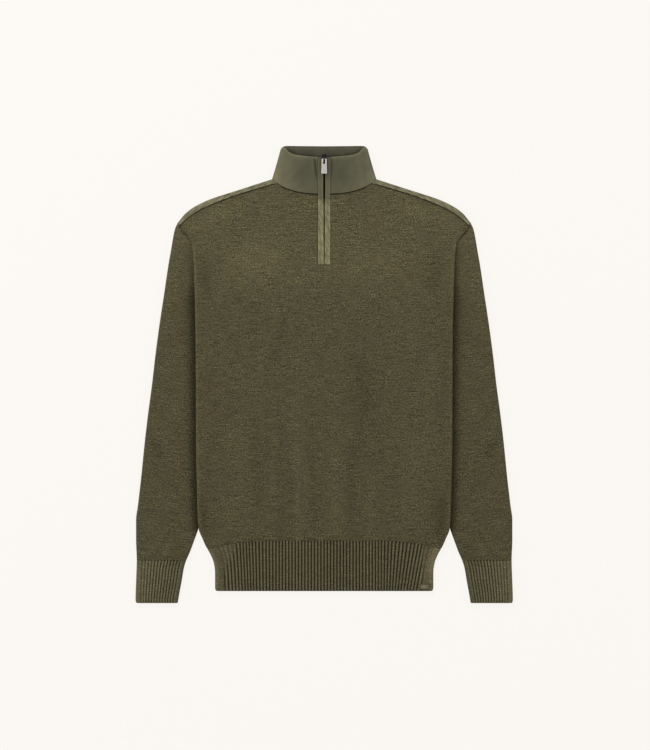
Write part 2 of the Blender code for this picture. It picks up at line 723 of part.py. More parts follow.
def make_collar(finish, collection):
    """The stand collar: a flat band folded at the sides, higher in front, and open at the zip."""
    up = steps((0.15, 1), (0.85, 4), (1.0, 1))
    reach = NECK_SIDE_X - (NECK_SIDE_X - COLLAR_TOP_X) * up - COLLAR_BOW * up * (1 - up)
    side = SHOULDER_HEIGHT + (COLLAR_SIDE_HEIGHT - SHOULDER_HEIGHT) * up
    radius = side / 2
    first = (PLACKET_HALF + SEAM_GAP) / reach
    last = 1 - radius / reach

    def plan(across, in_front):
        base, rim = (COLLAR_FRONT_BASE, COLLAR_FRONT_RIM) if in_front else (COLLAR_BACK_BASE, COLLAR_BACK_RIM)
        low = through(base, across * NECK_SIDE_X)
        high = through(rim, across * COLLAR_TOP_X)
        return np.stack([across * reach[:, None], low + (high - low) * up[:, None]], axis=2)

    front = first[:, None] + (last - first)[:, None] * np.linspace(0, 1, 10)[None]
    front_z = collar_height(front, up[:, None])
    front_z = front_z - (front_z[:, -1:] - side[:, None]) * smooth((front - 0.5) / 0.45)
    turn = np.linspace(0, math.pi, 9)[None, 1:-1]
    fold = last[:, None] + (radius / reach)[:, None] * np.sin(turn)
    fold_z = radius[:, None] * (1 + np.cos(turn))
    fold_plan = np.where((turn <= math.pi / 2)[..., None], plan(fold, True), plan(fold, False))
    back = last[:, None] * np.linspace(1, 0, 8)[None]
    rings = [plan(front, True), fold_plan, plan(back, False)]
    z = np.concatenate([front_z, fold_z, np.zeros_like(back)], axis=1)
    half = np.concatenate([np.concatenate(rings, axis=1), z[..., None]], axis=2)
    half[0, :, 1] += SEAM_GAP
    mirrored = half[:, -2::-1] * np.array([-1.0, 1.0, 1.0])
    return cloth("collar", np.concatenate([half, mirrored], axis=1), COLLAR_CLOTH, finish, collection)


# ---------------------------------------------------------------- zip


def zip_stations(start, end):
    """Heights on the garment where the zip and the strips beside it have their points."""
    return np.linspace(start, end, 7)


def make_welt(name, side, start, end, finish, collection):
    """A flat facing strip beside the zip, between two heights on the garment."""
    y = zip_stations(start, end)
    x = np.linspace(ZIP_GAP_HALF, PLACKET_HALF, 3)
    across, along = np.broadcast_arrays(side * x[None], y[:, None])
    grid = np.stack([across, along, centre_height(along) + WELT_STEP], axis=2)
    return cloth(name, grid, WELT_CLOTH, finish, collection, turn=side)


def make_zip(finish, collection):
    """The zip: its tape under the welts, with the closed row of teeth standing up between them."""
    y = np.concatenate([zip_stations(PLACKET_END, NECK_SEAM_Y)[:-1], zip_stations(NECK_SEAM_Y, ZIP_TOP)])
    x = np.array([-9.8, -0.95, -0.9, 0.9, 0.95, 9.8])
    tape = WELT_STEP - WELT_CLOTH - SEAM_GAP
    above = np.array([tape, tape, 0.1, 0.1, tape, tape])
    level = centre_height(y)[:, None]
    across, along = np.broadcast_arrays(x[None], y[:, None])
    top = np.stack([across, along, level + above[None]], axis=2)
    bottom = top.copy()
    bottom[..., 2] = level + tape - TAPE_CLOTH
    return new_object("zip", wall("zip", top, bottom), finish, collection, SMOOTH_ANGLE)


SLIDER_WIDTH = 7.4
SLIDER_TOP = 374.2
SLIDER_FOOT = 360.8
SLIDER_THICK = 2.0
HINGE_Y = 364.6
HINGE_RISE = 1.7
BRIDGE_WIDTH = 1.8
BRIDGE_REACH = 3.7
BRIDGE_WINDOW = 3.1
BRIDGE_BAR = 1.0
TAB_WIDTH = 9.6
TAB_LENGTH = 24.2
TAB_THICK = 1.4
TAB_BAR = 0.8
TAB_SLOT_HALF = 1.6
TAB_SLOT_END = 8.2
TAB_TILT = 5.5


def slider_level():
    """Top of the slider's plate, which rides on the welts at the top of the zip."""
    return float(centre_height(np.array(ZIP_TOP - 0.5))) + WELT_STEP + SEAM_GAP + SLIDER_THICK


def flat_outline(name, loops, thickness, collection):
    """A mesh of a flat outline, cut from loops of (x, y), the first outside and the rest holes."""
    curve = bpy.data.curves.new(name, "CURVE")
    curve.dimensions = "2D"
    curve.fill_mode = "BOTH"
    curve.extrude = thickness * MM / 2
    for loop in loops:
        spline = curve.splines.new("POLY")
        spline.points.add(len(loop) - 1)
        spline.points.foreach_set("co", np.array([(x * MM, y * MM, 0, 1) for x, y in loop]).ravel())
        spline.use_cyclic_u = True
    holder = bpy.data.objects.new(name + "_outline", curve)
    collection.objects.link(holder)
    bpy.context.view_layer.update()
    mesh = bpy.data.meshes.new_from_object(holder.evaluated_get(bpy.context.evaluated_depsgraph_get()))
    bpy.data.objects.remove(holder)
    shape = bmesh.new()
    shape.from_mesh(mesh)
    bmesh.ops.remove_doubles(shape, verts=shape.verts, dist=0.00001)
    bmesh.ops.recalc_face_normals(shape, faces=shape.faces)
    shape.to_mesh(mesh)
    shape.free()
    return mesh


def arc(centre, radius, start, end, pieces):
    """Points of an arc, with its angles in degrees."""
    angles = [math.radians(start + (end - start) * i / pieces) for i in range(pieces + 1)]
    return [(centre[0] + radius * math.cos(a), centre[1] + radius * math.sin(a)) for a in angles]


def make_slider(finish, collection, cutters):
    """The slider: a rounded plate on the zip, with the bridge that holds the pull tab."""
    level = slider_level()
    middle = ((SLIDER_TOP + SLIDER_FOOT) / 2, level - SLIDER_THICK / 2)
    plate = flat_outline(
        "slider",
        [
            arc((SLIDER_WIDTH / 2 - 2.6, 4.2), 2.6, 0, 90, 4)
            + arc((-SLIDER_WIDTH / 2 + 2.6, 4.2), 2.6, 90, 180, 4)
            + arc((-SLIDER_WIDTH / 2 + 1.2, -5.6), 1.2, 180, 270, 3)
            + arc((SLIDER_WIDTH / 2 - 1.2, -5.6), 1.2, 270, 360, 3)
        ],
        SLIDER_THICK,
        collection,
    )
    plate.transform(Matrix.Translation(Vector((0, middle[0], middle[1])) * MM))
    slider = new_object("slider", plate, finish, collection, METAL_SMOOTH_ANGLE)
    reach, window = BRIDGE_REACH, BRIDGE_WINDOW
    arch = [(reach + BRIDGE_BAR, -0.6), *arc((reach - 1.2, window - 1.0), 2.0 + 0.2, 0, 90, 4)]
    arch += [*arc((-reach + 1.2, window - 1.0), 2.0 + 0.2, 90, 180, 4), (-reach - BRIDGE_BAR, -0.6)]
    arch += [(-reach, -0.6), *arc((-reach + 1.2, window - 1.2), 1.2, 180, 90, 4)]
    arch += [*arc((reach - 1.2, window - 1.2), 1.2, 90, 0, 4), (reach, -0.6)]
    bridge = flat_outline("bridge", [arch], BRIDGE_WIDTH, collection)
    bridge.transform(Matrix(((0, 0, 1, 0), (1, 0, 0, 0), (0, 1, 0, 0), (0, 0, 0, 1))))
    bridge.transform(Matrix.Translation(Vector((0, HINGE_Y, level)) * MM))
    helper = bpy.data.objects.new("bridge", bridge)
    helper.hide_render = True
    helper.display_type = "WIRE"
    cutters.objects.link(helper)
    union = slider.modifiers.new("bridge", "BOOLEAN")
    union.operation = "UNION"
    union.solver = "EXACT"
    union.object = helper
    return slider


def make_pull_tab(finish, collection):
    """The pull tab, whose top bar turns under the slider's bridge; its origin is on that axis."""
    half, foot = TAB_WIDTH / 2, -(TAB_LENGTH - TAB_BAR)
    outside = [(half, foot + 0.8), *arc((half - 0.8, TAB_BAR - 0.8), 0.8, 0, 90, 3)]
    outside += [*arc((-half + 0.8, TAB_BAR - 0.8), 0.8, 90, 180, 3), (-half, foot + 0.8)]
    outside += [(-half + 0.8, foot), (half - 0.8, foot)]
    slot = arc((0, -TAB_SLOT_END + TAB_SLOT_HALF), TAB_SLOT_HALF, 180, 360, 8)
    slot += [(TAB_SLOT_HALF - 0.3, -TAB_BAR), (-TAB_SLOT_HALF + 0.3, -TAB_BAR)]
    mesh = flat_outline("pull_tab", [outside, slot], TAB_THICK, collection)
    tab = new_object("pull_tab", mesh, finish, collection, METAL_SMOOTH_ANGLE)
    tab.location = Vector((0, HINGE_Y, slider_level() + HINGE_RISE)) * MM
    tab.rotation_euler = (math.radians(TAB_TILT), 0, 0)
    return tab


def make_hem_label(finish, collection):
    """A small blank tab sewn on the hem rib, near its lower corner."""
    bpy.ops.mesh.primitive_cube_add(size=1.0)
    label = bpy.context.active_object
    label.name = "hem_label"
    for holder in list(label.users_collection):
        holder.objects.unlink(label)
    label.data.transform(Matrix.Diagonal((17.0 * MM, 8.6 * MM, 0.8 * MM, 1)))
    label.data.transform(Matrix.Translation(Vector((170.6, -359.6, HEM_HEIGHT + 0.75)) * MM))
    label.data.materials.append(finish)
    collection.objects.link(label)
    return label


def main():
    clear_scene()
    sweater = bpy.data.collections.new("quarter_zip_sweater")
    cutters = bpy.data.collections.new("joined_shapes")
    for group in (sweater, cutters):
        bpy.context.scene.collection.children.link(group)
    knit = material("knit", KNIT_COLOUR, 0.95)
    rib = material("rib", RIB_COLOUR, 0.95)
    woven = material("woven", WOVEN_COLOUR, 0.8)
    welt = material("welt", WELT_COLOUR, 0.7)
    tape = material("zip_tape", TAPE_COLOUR, 0.8)
    metal = material("metal", METAL_COLOUR, 0.3, 1.0)
    gunmetal = material("gunmetal", GUNMETAL_COLOUR, 0.35, 1.0)
    tag = material("label", LABEL_COLOUR, 0.7)

    make_front(knit, sweater)
    make_back(knit, sweater)
    make_hem(rib, sweater)
    make_collar(woven, sweater)
    for side in (-1, 1):
        make_sleeve(side, knit, sweater)
        make_cuff(side, rib, sweater)
        make_shoulder_strip(side, woven, sweater)
        word = "right" if side > 0 else "left"
        make_welt("placket_" + word, side, PLACKET_END, NECK_SEAM_Y - SEAM_GAP, welt, sweater)
        make_welt("collar_welt_" + word, side, NECK_SEAM_Y, ZIP_TOP, woven, sweater)
    make_zip(tape, sweater)
    make_slider(gunmetal, sweater, cutters)
    make_pull_tab(metal, sweater)
    make_hem_label(tag, sweater)


main()
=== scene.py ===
"""Looks of a quarter zip sweater that lies flat and face up on a pale floor.

Every piece is a numpy surface on the form of the solid that it stands for, in the part's own frame: the hem
towards -Y, the collar towards +Y, the front facing +Z and the floor at z = 0. Sizes are millimetres until a
mesh is written. Cloth is a closed shell: a grid of outer points, the same grid moved in by the cloth's
thickness, and a rounded rim. Its UV map "cloth" holds the distance across and along the knit or weave, in
millimetres, so that a pattern follows the cloth round a fold, and its attribute "tone" holds painted light
and
shade that multiplies the colour: 1 on open cloth, less where shade is painted in grooves, seams, creases and
beside folds that lie on it, more where highlights are painted on ridges and fold edges.
"""

import math

import bpy
import numpy as np
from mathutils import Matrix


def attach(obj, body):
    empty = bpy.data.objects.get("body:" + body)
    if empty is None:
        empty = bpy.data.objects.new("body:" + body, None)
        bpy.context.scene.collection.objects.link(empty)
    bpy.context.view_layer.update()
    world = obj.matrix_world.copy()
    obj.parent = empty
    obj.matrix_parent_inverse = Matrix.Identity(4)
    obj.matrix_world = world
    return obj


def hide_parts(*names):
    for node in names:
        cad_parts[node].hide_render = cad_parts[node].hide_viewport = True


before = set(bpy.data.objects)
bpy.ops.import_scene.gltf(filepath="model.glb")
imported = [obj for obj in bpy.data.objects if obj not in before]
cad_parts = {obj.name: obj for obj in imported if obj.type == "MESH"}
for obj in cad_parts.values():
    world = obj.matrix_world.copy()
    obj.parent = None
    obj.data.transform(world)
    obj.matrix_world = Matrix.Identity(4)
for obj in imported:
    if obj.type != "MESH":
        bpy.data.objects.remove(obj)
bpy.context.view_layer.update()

MM = 0.001

# Gaps at the seams: in general, where pieces almost touch, and at the armhole for the front and the back.
SEAM_GAP = 0.4
RIB_SEAM_GAP = 0.02
ARMHOLE_SEAM_GAP = 0.2
BACK_ARMHOLE_GAP = 1.9

# Cloth thicknesses.
KNIT = 2.0
RIB_KNIT = 2.3
RIB_DEPTH = 1.5
COLLAR_CLOTH = 2.6
STRIP_CLOTH = 1.8
WELT_CLOTH = 1.7
TAPE_CLOTH = 0.8

# Heights of the stacked layers.
FRONT_HEIGHT = 7.6
COLLAR_BASE_HEIGHT = 13.0
COLLAR_RIM_HEIGHT = 23.0
COLLAR_SIDE_HEIGHT = 9.0
SHOULDER_HEIGHT = 8.4
SLEEVE_HEIGHT = 7.8
TUCKED_SLEEVE_HEIGHT = 4.8
HEM_HEIGHT = 7.8
LIFT_OVER_SLEEVE = 5.2
LAP_OVER_BACK = 2.4
LAP_OVER_SLEEVE = 5.2

# Plan of the garment.
HEM_END = -367.6
CUFF_END = -388.0
CUFF_SEAM = -315.6
HEM_SEAM = -282.4
HEM_SEAM_DROP = 13.8
HEM_SEAM_FLAT = 95.0
HEM_SIDE = 199.0
HEM_LEAN = 14.5
HEM_GATHER_LEFT = 3.0
HEM_SPREAD_LEFT = 4.0
HEM_GATHER_RIGHT = 7.0
ARMPIT_Y = 222.0
ARMPIT_SHARE = 0.226
UNDERARM_Y = 106.7
WEDGE_Y = -261.2
SHOULDER_TIP_Y = 253.2
SLEEVE_TOP = 257.2
SHOULDER_TIP_X = 245.2
NECK_SIDE_X = 88.6
NECK_SIDE_Y = 331.5
NECK_CORNER_X = 79.5
COLLAR_TOP_X = 74.2
COLLAR_TOP_Y = 381.6
COLLAR_BOW = 1.5
COLLAR_BAND = 63.0
BACK_NECK_CORNER_X = 65.0
STRIP_BACK_WIDTH = 14.0
STRIP_OVER_TIP = 1.8
STRIP_PAST_SLEEVE = 0.1
STRIP_TUCK = 0.6
STRIP_FOLD_DEPTH = 0.9
STRIP_PRESSED = 0.93
FRONT_PAST_TIP = 1.2
BACK_TIP_INSET = 3.0
BACK_INSET = 7.0
FOLD_LEAST_RADIUS = 2.5
FOLD_FIRST_ANGLE = 0.12
TUCK_PAST_SLEEVE = (5.0, -3.0, -14.0)
TUCK_LEAST = (3.0, 6.0, 9.0)

# Zip opening.
PLACKET_HALF = 10.8
PLACKET_END = 186.4
ZIP_TOP = 368.2
ZIP_GAP_HALF = 1.5
ZIP_GAP_HALF_LOW = 0.85
ZIP_GAP_NARROWS = 0.35
ZIP_GAP_NARROWS_AT = 244.0
ZIP_GAP_HALF_FOOT = 0.15
TAPE_HALF = 9.8
WELT_STEP = 0.4
TWILL_MARK = 3.7
NECK_SEAM_Y = 305.4
WELT_JOIN_Y = 299.0

# Ribs: pitch, grid columns to a rib, and how much narrower a groove is than a plain wave.
HEM_RIB = 5.6
CUFF_RIB = 5.0
RIB_COLUMNS = 8
GROOVE_POWER = 1.4
CUFF_FOLDS = 8.0
FOLD_RIBS = 2.2

# Half width of the body at its side folds: height on the garment, half width.
BODY_SIDE = (
    (222.0, 224.0), (206.0, 222.7), (186.0, 221.3), (150.0, 220.2), (60.0, 218.3),
    (-9.0, 217.8), (-110.0, 217.6), (-186.0, 216.2), (-228.0, 215.2), (-261.2, 213.2),
    (-279.5, 206.2), (-293.0, 200.2), (-308.0, 191.8), (-321.0, 187.2), (-336.0, 185.3),
    (-362.0, 185.3), (-367.6, 183.6),
)

# Outer fold of the sleeve and cuff: height on the garment, distance from the centre line.
SLEEVE_OUTER = (
    (256.4, 248.8), (249.5, 252.5), (235.9, 255.9), (215.5, 259.3), (186.6, 264.4),
    (135.6, 272.0), (84.6, 279.7), (33.6, 286.5), (-17.4, 292.4), (-68.4, 299.2),
    (-119.4, 305.2), (-170.4, 310.3), (-221.4, 316.2), (-246.9, 319.4), (-280.9, 319.4),
    (-314.9, 318.2), (-348.9, 319.3), (-382.9, 320.3), (-388.0, 319.0),
)

# Inner edge of the sleeve, the armhole seam first and then the inner fold: height, distance from the centre.
SLEEVE_INNER = (
    (256.4, 248.8), (248.3, 243.0), (239.7, 235.5), (231.3, 228.0), (223.0, 224.3),
    (205.0, 217.0), (178.0, 203.0), (145.0, 180.0), (106.7, 143.0), (25.0, 156.7),
    (-77.0, 173.7), (-179.0, 192.4), (-261.2, 213.4), (-281.4, 220.5), (-300.5, 227.6),
    (-317.3, 234.8), (-329.2, 238.3), (-350.6, 241.9), (-369.7, 245.5), (-388.0, 248.6),
)

# Seam between the front and the collar and, past the neck corner, the shoulder strip: distance, height.
FRONT_TOP = (
    (0.0, 305.4), (12.4, 305.6), (26.3, 306.6), (41.0, 308.6), (55.6, 312.2),
    (68.7, 317.3), (79.5, 323.9), (100.5, 319.3), (124.8, 312.4), (148.9, 304.6),
    (174.9, 295.0), (200.9, 284.4), (218.5, 275.0), (235.8, 262.1), (245.2, 253.2),
)

# Outline of the shoulder, where the strip folds over: distance from the centre line, height.
SHOULDER_FOLD = (
    (60.0, 340.6), (88.6, 331.4), (114.2, 323.2), (140.3, 314.7), (166.3, 306.5),
    (192.3, 297.8), (218.5, 285.5), (235.8, 273.0), (248.6, 257.4),
)

# Collar edges in plan, each as distance from the centre line and height on the garment.
COLLAR_FRONT_BASE = (
    (0.0, 305.4), (26.3, 306.6), (41.0, 308.6), (55.6, 312.2), (68.7, 317.3),
    (79.5, 323.9), (NECK_SIDE_X, NECK_SIDE_Y),
)
COLLAR_FRONT_RIM = (
    (0.0, 368.4), (16.0, 369.0), (30.6, 370.2), (43.9, 371.9), (54.0, 374.4),
    (60.6, 378.0), (65.0, 383.2), (68.0, 385.9), (71.2, 385.4), (COLLAR_TOP_X, COLLAR_TOP_Y),
)
COLLAR_BACK_BASE = ((0.0, 324.0), (40.0, 324.3), (65.0, 325.2), (80.0, 327.6), (NECK_SIDE_X, NECK_SIDE_Y))
COLLAR_BACK_RIM = (
    (0.0, 387.4), (40.0, 387.8), (62.0, 388.0), (67.5, 387.5), (71.4, 386.0),
    (73.4, 383.8), (COLLAR_TOP_X, COLLAR_TOP_Y),
)

# Soft folds: x and y of both ends, half width across the fold, and height (negative for a trough).
FOLD_COLUMNS = ("x0", "y0", "x1", "y1", "half", "rise")
FRONT_FOLDS = (
    (-178, 178, -52, 208, 30, 2.4),
    (-150, 216, -92, 228, 14, 0.2),
    (-96, 162, 8, 150, 13, 0.5),
    (22, 204, 136, 180, 27, 1.4),
    (112, 280, 214, 258, 15, 2.3),
    (-226, 246, -146, 286, 15, 1.5),
    (200, 216, 180, 122, 16, -3.1),
    (-208, 206, -190, 112, 14, -2.6),
    (-196, 132, -96, 118, 17, -0.5),
    (-34, 118, 40, 136, 12, -0.4),
    (8, 178, -62, 96, 9, -0.6),
    (-56, 122, -98, -10, 9, -1.8),
    (68, 110, 70, -230, 32, -0.7),
    (60, 48, 76, -104, 19, -1.9),
    (64, -50, 56, -170, 9, -0.8),
    (-114, -30, -114, -300, 9, -1.1),
    (-74, 20, -72, -320, 9, -1.1),
    (-46, -20, -46, -340, 7, 2.5),
    (-22, -40, -20, -330, 7, -1.3),
    (20, -50, 22, -360, 9, 1.9),
    (48, -90, 48, -330, 7, -1.5),
    (77, -130, 80, -340, 7, 1.0),
    (98, -190, 98, -278, 8, -0.5),
    (-156, -60, -150, -190, 25, 1.1),
    (-152, -150, -150, -290, 22, 1.2),
    (166, -80, 160, -190, 25, 1.3),
    (146, -150, 150, -290, 22, 1.1),
    (-6, -196, -4, -278, 5, -0.5),
    (-96, -190, -94, -300, 6, 0.8),
    (-206, -210, -196, -282, 10, -1.4),
    (206, -190, 194, -300, 12, -3.4),
    (-200, 60, -192, -140, 12, -0.6),
    (202, 40, 196, -130, 12, -0.6),
    (-188, 30, -176, -110, 13, -0.4),
    (-75, -205, -75, -340, 8, -0.8),
    (204, 260, 238, 232, 11, 1.5),
    (-204, 260, -238, 232, 11, 1.5),
    (186, 60, 178, -60, 13, 0.3),
    (-156, 66, -150, -50, 24, 0.7),
    (-128, 40, -60, -4, 15, 0.2),
    (110, 70, 176, 92, 17, 0.5),
    (20, 74, -20, 6, 13, -0.4),
)
SLEEVE_FOLDS = (
    (256, 190, 274, 60, 13, 0.9),
    (298, -108, 266, -152, 10, -1.7),
    (306, -70, 240, -124, 9, 0.3),
    (308, -146, 236, -196, 8, -0.4),
    (310, -168, 240, -214, 7, -0.5),
    (312, -192, 244, -240, 9, 0.6),
    (300, -226, 250, -262, 8, -0.5),
    (306, -244, 262, -282, 13, 0.4),
    (236, -276, 262, -330, 8, -0.9),
    (250, 110, 282, 84, 8, 0.5),
    (244, 66, 284, 34, 8, -0.6),
    (246, 22, 292, -8, 9, 0.5),
    (240, -20, 294, -50, 9, -0.5),
    (238, -286, 258, -322, 8, -0.9),
    (264, -284, 272, -322, 7, 0.5),
    (300, -286, 302, -322, 12, 0.9),
    (262, 224, 258, 140, 7, -0.5),
)
# Folds of the layers on the floor lift the cloth off it.
BACK_FOLDS = (
    (-120, 200, 10, 232, 24, 1.1),
    (60, 214, 150, 176, 20, 0.9),
    (-96, -40, -84, -262, 13, 0.9),
    (-30, -110, -26, -268, 11, 0.7),
    (34, -60, 44, -264, 14, 1.0),
    (104, -120, 112, -262, 11, 0.8),
    (-60, 60, 70, 30, 22, 0.6),
    (-130, 110, -112, 10, 15, 0.6),
    (124, 90, 132, -20, 14, 0.6),
)
SLEEVE_BACK_FOLDS = (
    (262, 140, 276, 40, 9, 0.6),
    (252, -84, 298, -104, 9, 0.7),
    (252, -148, 302, -166, 8, 0.7),
    (262, -236, 306, -246, 10, 0.7),
)
COLLAR_FOLDS = (
    (-17.0, 378, -11.4, 322, 1.7, -2.0),
    (13.6, 378, 12.2, 322, 1.5, -1.4),
    (-62, 376, -58, 318, 9, 0.5),
    (-36, 372, -44, 312, 12, -0.5),
    (34, 372, 40, 314, 12, -0.4),
    (60, 376, 57, 320, 9, 0.5),
    (-27, 340, -24, 308, 7, 0.3),
    (70, 378, 78, 340, 6, -0.4),
)
COLLAR_BACK_FOLDS = (
    (-43, 388, -41, 330, 6, 0.6),
    (-11, 388, -12, 330, 6, 0.8),
    (31, 388, 32, 330, 5, 0.8),
    (53, 388, 49, 330, 4, 0.5),
)

# Zip teeth, and how far from the placket's foot and from the zip's top their rows end.
TEETH_FROM_FOOT = 1.5
TEETH_FROM_TOP = 8.0
TOOTH_PITCH = 1.27
TOOTH_REACH = 1.2
TOOTH_LAP = 0.3
TOOTH_LIFT = 0.1
TOOTH_HALF = (0.42, 0.8)

# Slider and pull tab. The bevel is the slider's edge: inset from the outline, and rise over the plate's foot.
SLIDER_WIDTH = 8.6
SLIDER_TOP = 374.2
SLIDER_FOOT = 360.8
SLIDER_THICK = 2.0
SLIDER_CORNER = 2.4
SLIDER_TAPER = 0.14
SLIDER_BEVEL = ((0.55, 0.0), (0.15, 0.2), (0.0, 0.55), (0.0, 1.35), (0.16, 1.8), (0.6, 2.0), (2.0, 2.18))
HINGE_Y = 364.6
HINGE_RISE = 1.7
BRIDGE_WIDTH = 2.4
BRIDGE_REACH = 3.7
BRIDGE_WINDOW = 3.1
BRIDGE_BAR = 1.0
BRIDGE_CORNER = 0.32
BRIDGE_ROOT = 0.7
BRIDGE_SQUARENESS = 0.55
TAB_WIDTH = 9.6
TAB_LENGTH = 25.2
TAB_THICK = 1.4
TAB_CORNER = 1.1
TAB_BAR = 0.8
TAB_TAPER = 0.12
TAB_SLOT_HALF = 1.9
TAB_SLOT_END = 8.2
TAB_TILT = 5.5

# Hem label, and the thread of its stitches and the placket's.
LABEL_SIZE = (17.0, 8.6, 0.8)
LABEL_AT = (170.6, -359.6, HEM_HEIGHT + 0.75)
STITCH = 2.6
STITCH_GAP = 0.9
THREAD_HALF = (0.28, 0.24)
FOOT_SEAM_HALF = 11.5
FOOT_SEAM_DROP = 1.6
FOOT_SEAM_LIFT = 0.1
LABEL_SEAM_HALF = 3.6
LABEL_SEAM_INSET = 1.2
LABEL_SEAM_LIFT = 0.05

# Sizes of the knit's stitches, of the weave and of the twill's ridges.
WALE = 1.95
COURSE = 1.45
WEAVE = 0.62
TWILL = 1.15

# Picture: the camera's distance, its aim and the light.
CAMERA_HEIGHT = 10613.0
CAMERA_AIM = (1.36, -0.9)
LENS = 300.0
SENSOR = 36.0
LIGHTS = {
    "light_key": ((-700, 2300, 1900), 1500, 48.0),
    "light_left": ((-2700, 200, 1600), 1500, 42.0),
    "light_right": ((2700, 200, 1600), 1500, 31.0),
}
WORLD_STRENGTH = 0.5

FLOOR_HALF = 9000.0
FLOOR_DROP = 0.05

# Colours are linear red, green and blue.
FLOOR_COLOUR = (0.06, 0.059, 0.0575)
FLOOR_GLOW = (0.893, 0.869, 0.829)
SKY_COLOUR = (1.0, 0.985, 0.955)
KNIT_COLOURS = ((0.024, 0.0208, 0.0097), (0.191, 0.167, 0.0862))
RIB_COLOURS = ((0.052, 0.0458, 0.0228), (0.180, 0.1595, 0.088))
# Between a warmer and a cooler hue, the knit drifts slowly.
HUE_DRIFT = ((1.014, 0.996, 0.97), (0.986, 1.004, 1.03))
# Power of the tone in red, green and blue: shadows on the smooth cloth turn a little cooler.
WOVEN_SHADE = (1.04, 1.0, 0.88)
WOVEN_COLOURS = ((0.078, 0.075, 0.045), (0.108, 0.103, 0.062))
TWILL_COLOURS = ((0.0655, 0.0615, 0.0335), (0.231, 0.2155, 0.122))
WELT_COLOURS = ((0.085, 0.078, 0.040), (0.244, 0.227, 0.122))
TAPE_COLOURS = ((0.002, 0.002, 0.0015), (0.006, 0.006, 0.004))
LABEL_COLOURS = ((0.085, 0.074, 0.040), (0.200, 0.176, 0.104))
THREAD_COLOURS = ((0.055, 0.050, 0.028), (0.100, 0.092, 0.052))
METAL_COLOURS = ((0.80, 0.76, 0.74), (0.99, 0.96, 0.94))
GUNMETAL_COLOURS = ((0.012, 0.012, 0.013), (0.040, 0.040, 0.042))


# ---------------------------------------------------------------- curves and folds


def smooth(share):
    """Smooth step: 3t^2 - 2t^3, held at 0 below 0 and at 1 above 1."""
    share = np.clip(share, 0.0, 1.0)
    return share * share * (3.0 - 2.0 * share)


def bell(distance, half):
    """exp(-(distance / half)^2)."""
    return np.exp(-((distance / half) ** 2))


def through(table, at):
    """Value, at some positions, of a monotone cubic curve through a table's rows of (position, value)."""
    rows = np.array(sorted(table), float)
    known, value = rows[:, 0], rows[:, 1]
    step = np.diff(known)
    slope = np.diff(value) / step
    tangent = np.zeros(len(known))
    tangent[0], tangent[-1] = slope[0], slope[-1]
    same_way = slope[:-1] * slope[1:] > 0
    harmonic = 2 * slope[:-1] * slope[1:] / np.where(same_way, slope[:-1] + slope[1:], 1.0)
    tangent[1:-1] = np.where(same_way, harmonic, 0.0)
    at = np.clip(np.asarray(at, float), known[0], known[-1])
    cell = np.clip(np.searchsorted(known, at) - 1, 0, len(step) - 1)
    t = (at - known[cell]) / step[cell]
    h = step[cell]
    rise = (2 * t**3 - 3 * t**2 + 1) * value[cell] + (3 * t**2 - 2 * t**3) * value[cell + 1]
    return rise + h * ((t**3 - 2 * t**2 + t) * tangent[cell] + (t**3 - t**2) * tangent[cell + 1])


def steps(*stretches):
    """Positions along a line, from stretches of (end, pieces) that start at 0."""
    found = [0.0]
    for end, pieces in stretches:
        found.extend(np.linspace(found[-1], end, pieces + 1)[1:])
    return np.array(found)


def fold_relief(folds, x, y):
    """Height of soft folds: rise * bell(distance from the fold's line), faded out at the line's two ends."""
    total = np.zeros(np.broadcast(x, y).shape)
    for row in folds:
        fold = dict(zip(FOLD_COLUMNS, row))
        along = np.array([fold["x1"] - fold["x0"], fold["y1"] - fold["y0"]], float)
        length = np.hypot(*along)
        along /= length
        run = (x - fold["x0"]) * along[0] + (y - fold["y0"]) * along[1]
        aside = (x - fold["x0"]) * along[1] - (y - fold["y0"]) * along[0]
        ends = smooth(run / (0.35 * length)) * smooth((length - run) / (0.35 * length))
        total = total + fold["rise"] * ends * bell(aside, fold["half"])
    return total


# ---------------------------------------------------------------- heights of the layers


def body_half(y):
    return through(BODY_SIDE, y)


def inner_edge(y):
    return through(SLEEVE_INNER, y)


def front_top_line(x):
    return through(FRONT_TOP, np.abs(x))


def hem_line(x):
    """Height on the garment of the seam above the hem rib, which drops towards the sides."""
    aside = np.clip((np.abs(x) - HEM_SEAM_FLAT) / (HEM_SIDE - HEM_SEAM_FLAT), 0, 1.2)
    return HEM_SEAM - HEM_SEAM_DROP * aside**2


def neck_height(x):
    """Top of the cloth along the neck and shoulder seams."""
    share = np.clip(np.abs(x) / NECK_SIDE_X, 0, 1)
    return SHOULDER_HEIGHT + (COLLAR_BASE_HEIGHT - SHOULDER_HEIGHT) * (1 - share**2)


def front_height(x, y):
    """Outer surface of the front: low over the back, higher over the tucked sleeves and at the neck, with
    the soft folds and creases fading out at its edges."""
    x, y = np.broadcast_arrays(np.asarray(x, float), np.asarray(y, float))
    aside = np.abs(x)
    over_sleeve = smooth((aside - inner_edge(y) + 30) / 50) * smooth((256 - y) / 56)
    down = np.clip(front_top_line(x) - y, 0, None)
    near_neck = (neck_height(x) - FRONT_HEIGHT) * bell(down, 42)
    near_hem = (HEM_HEIGHT - FRONT_HEIGHT) * bell(y - hem_line(x), 20)
    flat = FRONT_HEIGHT + LIFT_OVER_SLEEVE * over_sleeve + near_neck + near_hem
    edge = np.where(y > ARMPIT_Y, inner_edge(y), body_half(np.minimum(y, ARMPIT_Y)))
    relief = fold_relief(FRONT_FOLDS, x, y) * smooth((edge - aside) / 14) * smooth(down / 14)
    return flat + relief * smooth((y - hem_line(x) + 3) / 14)


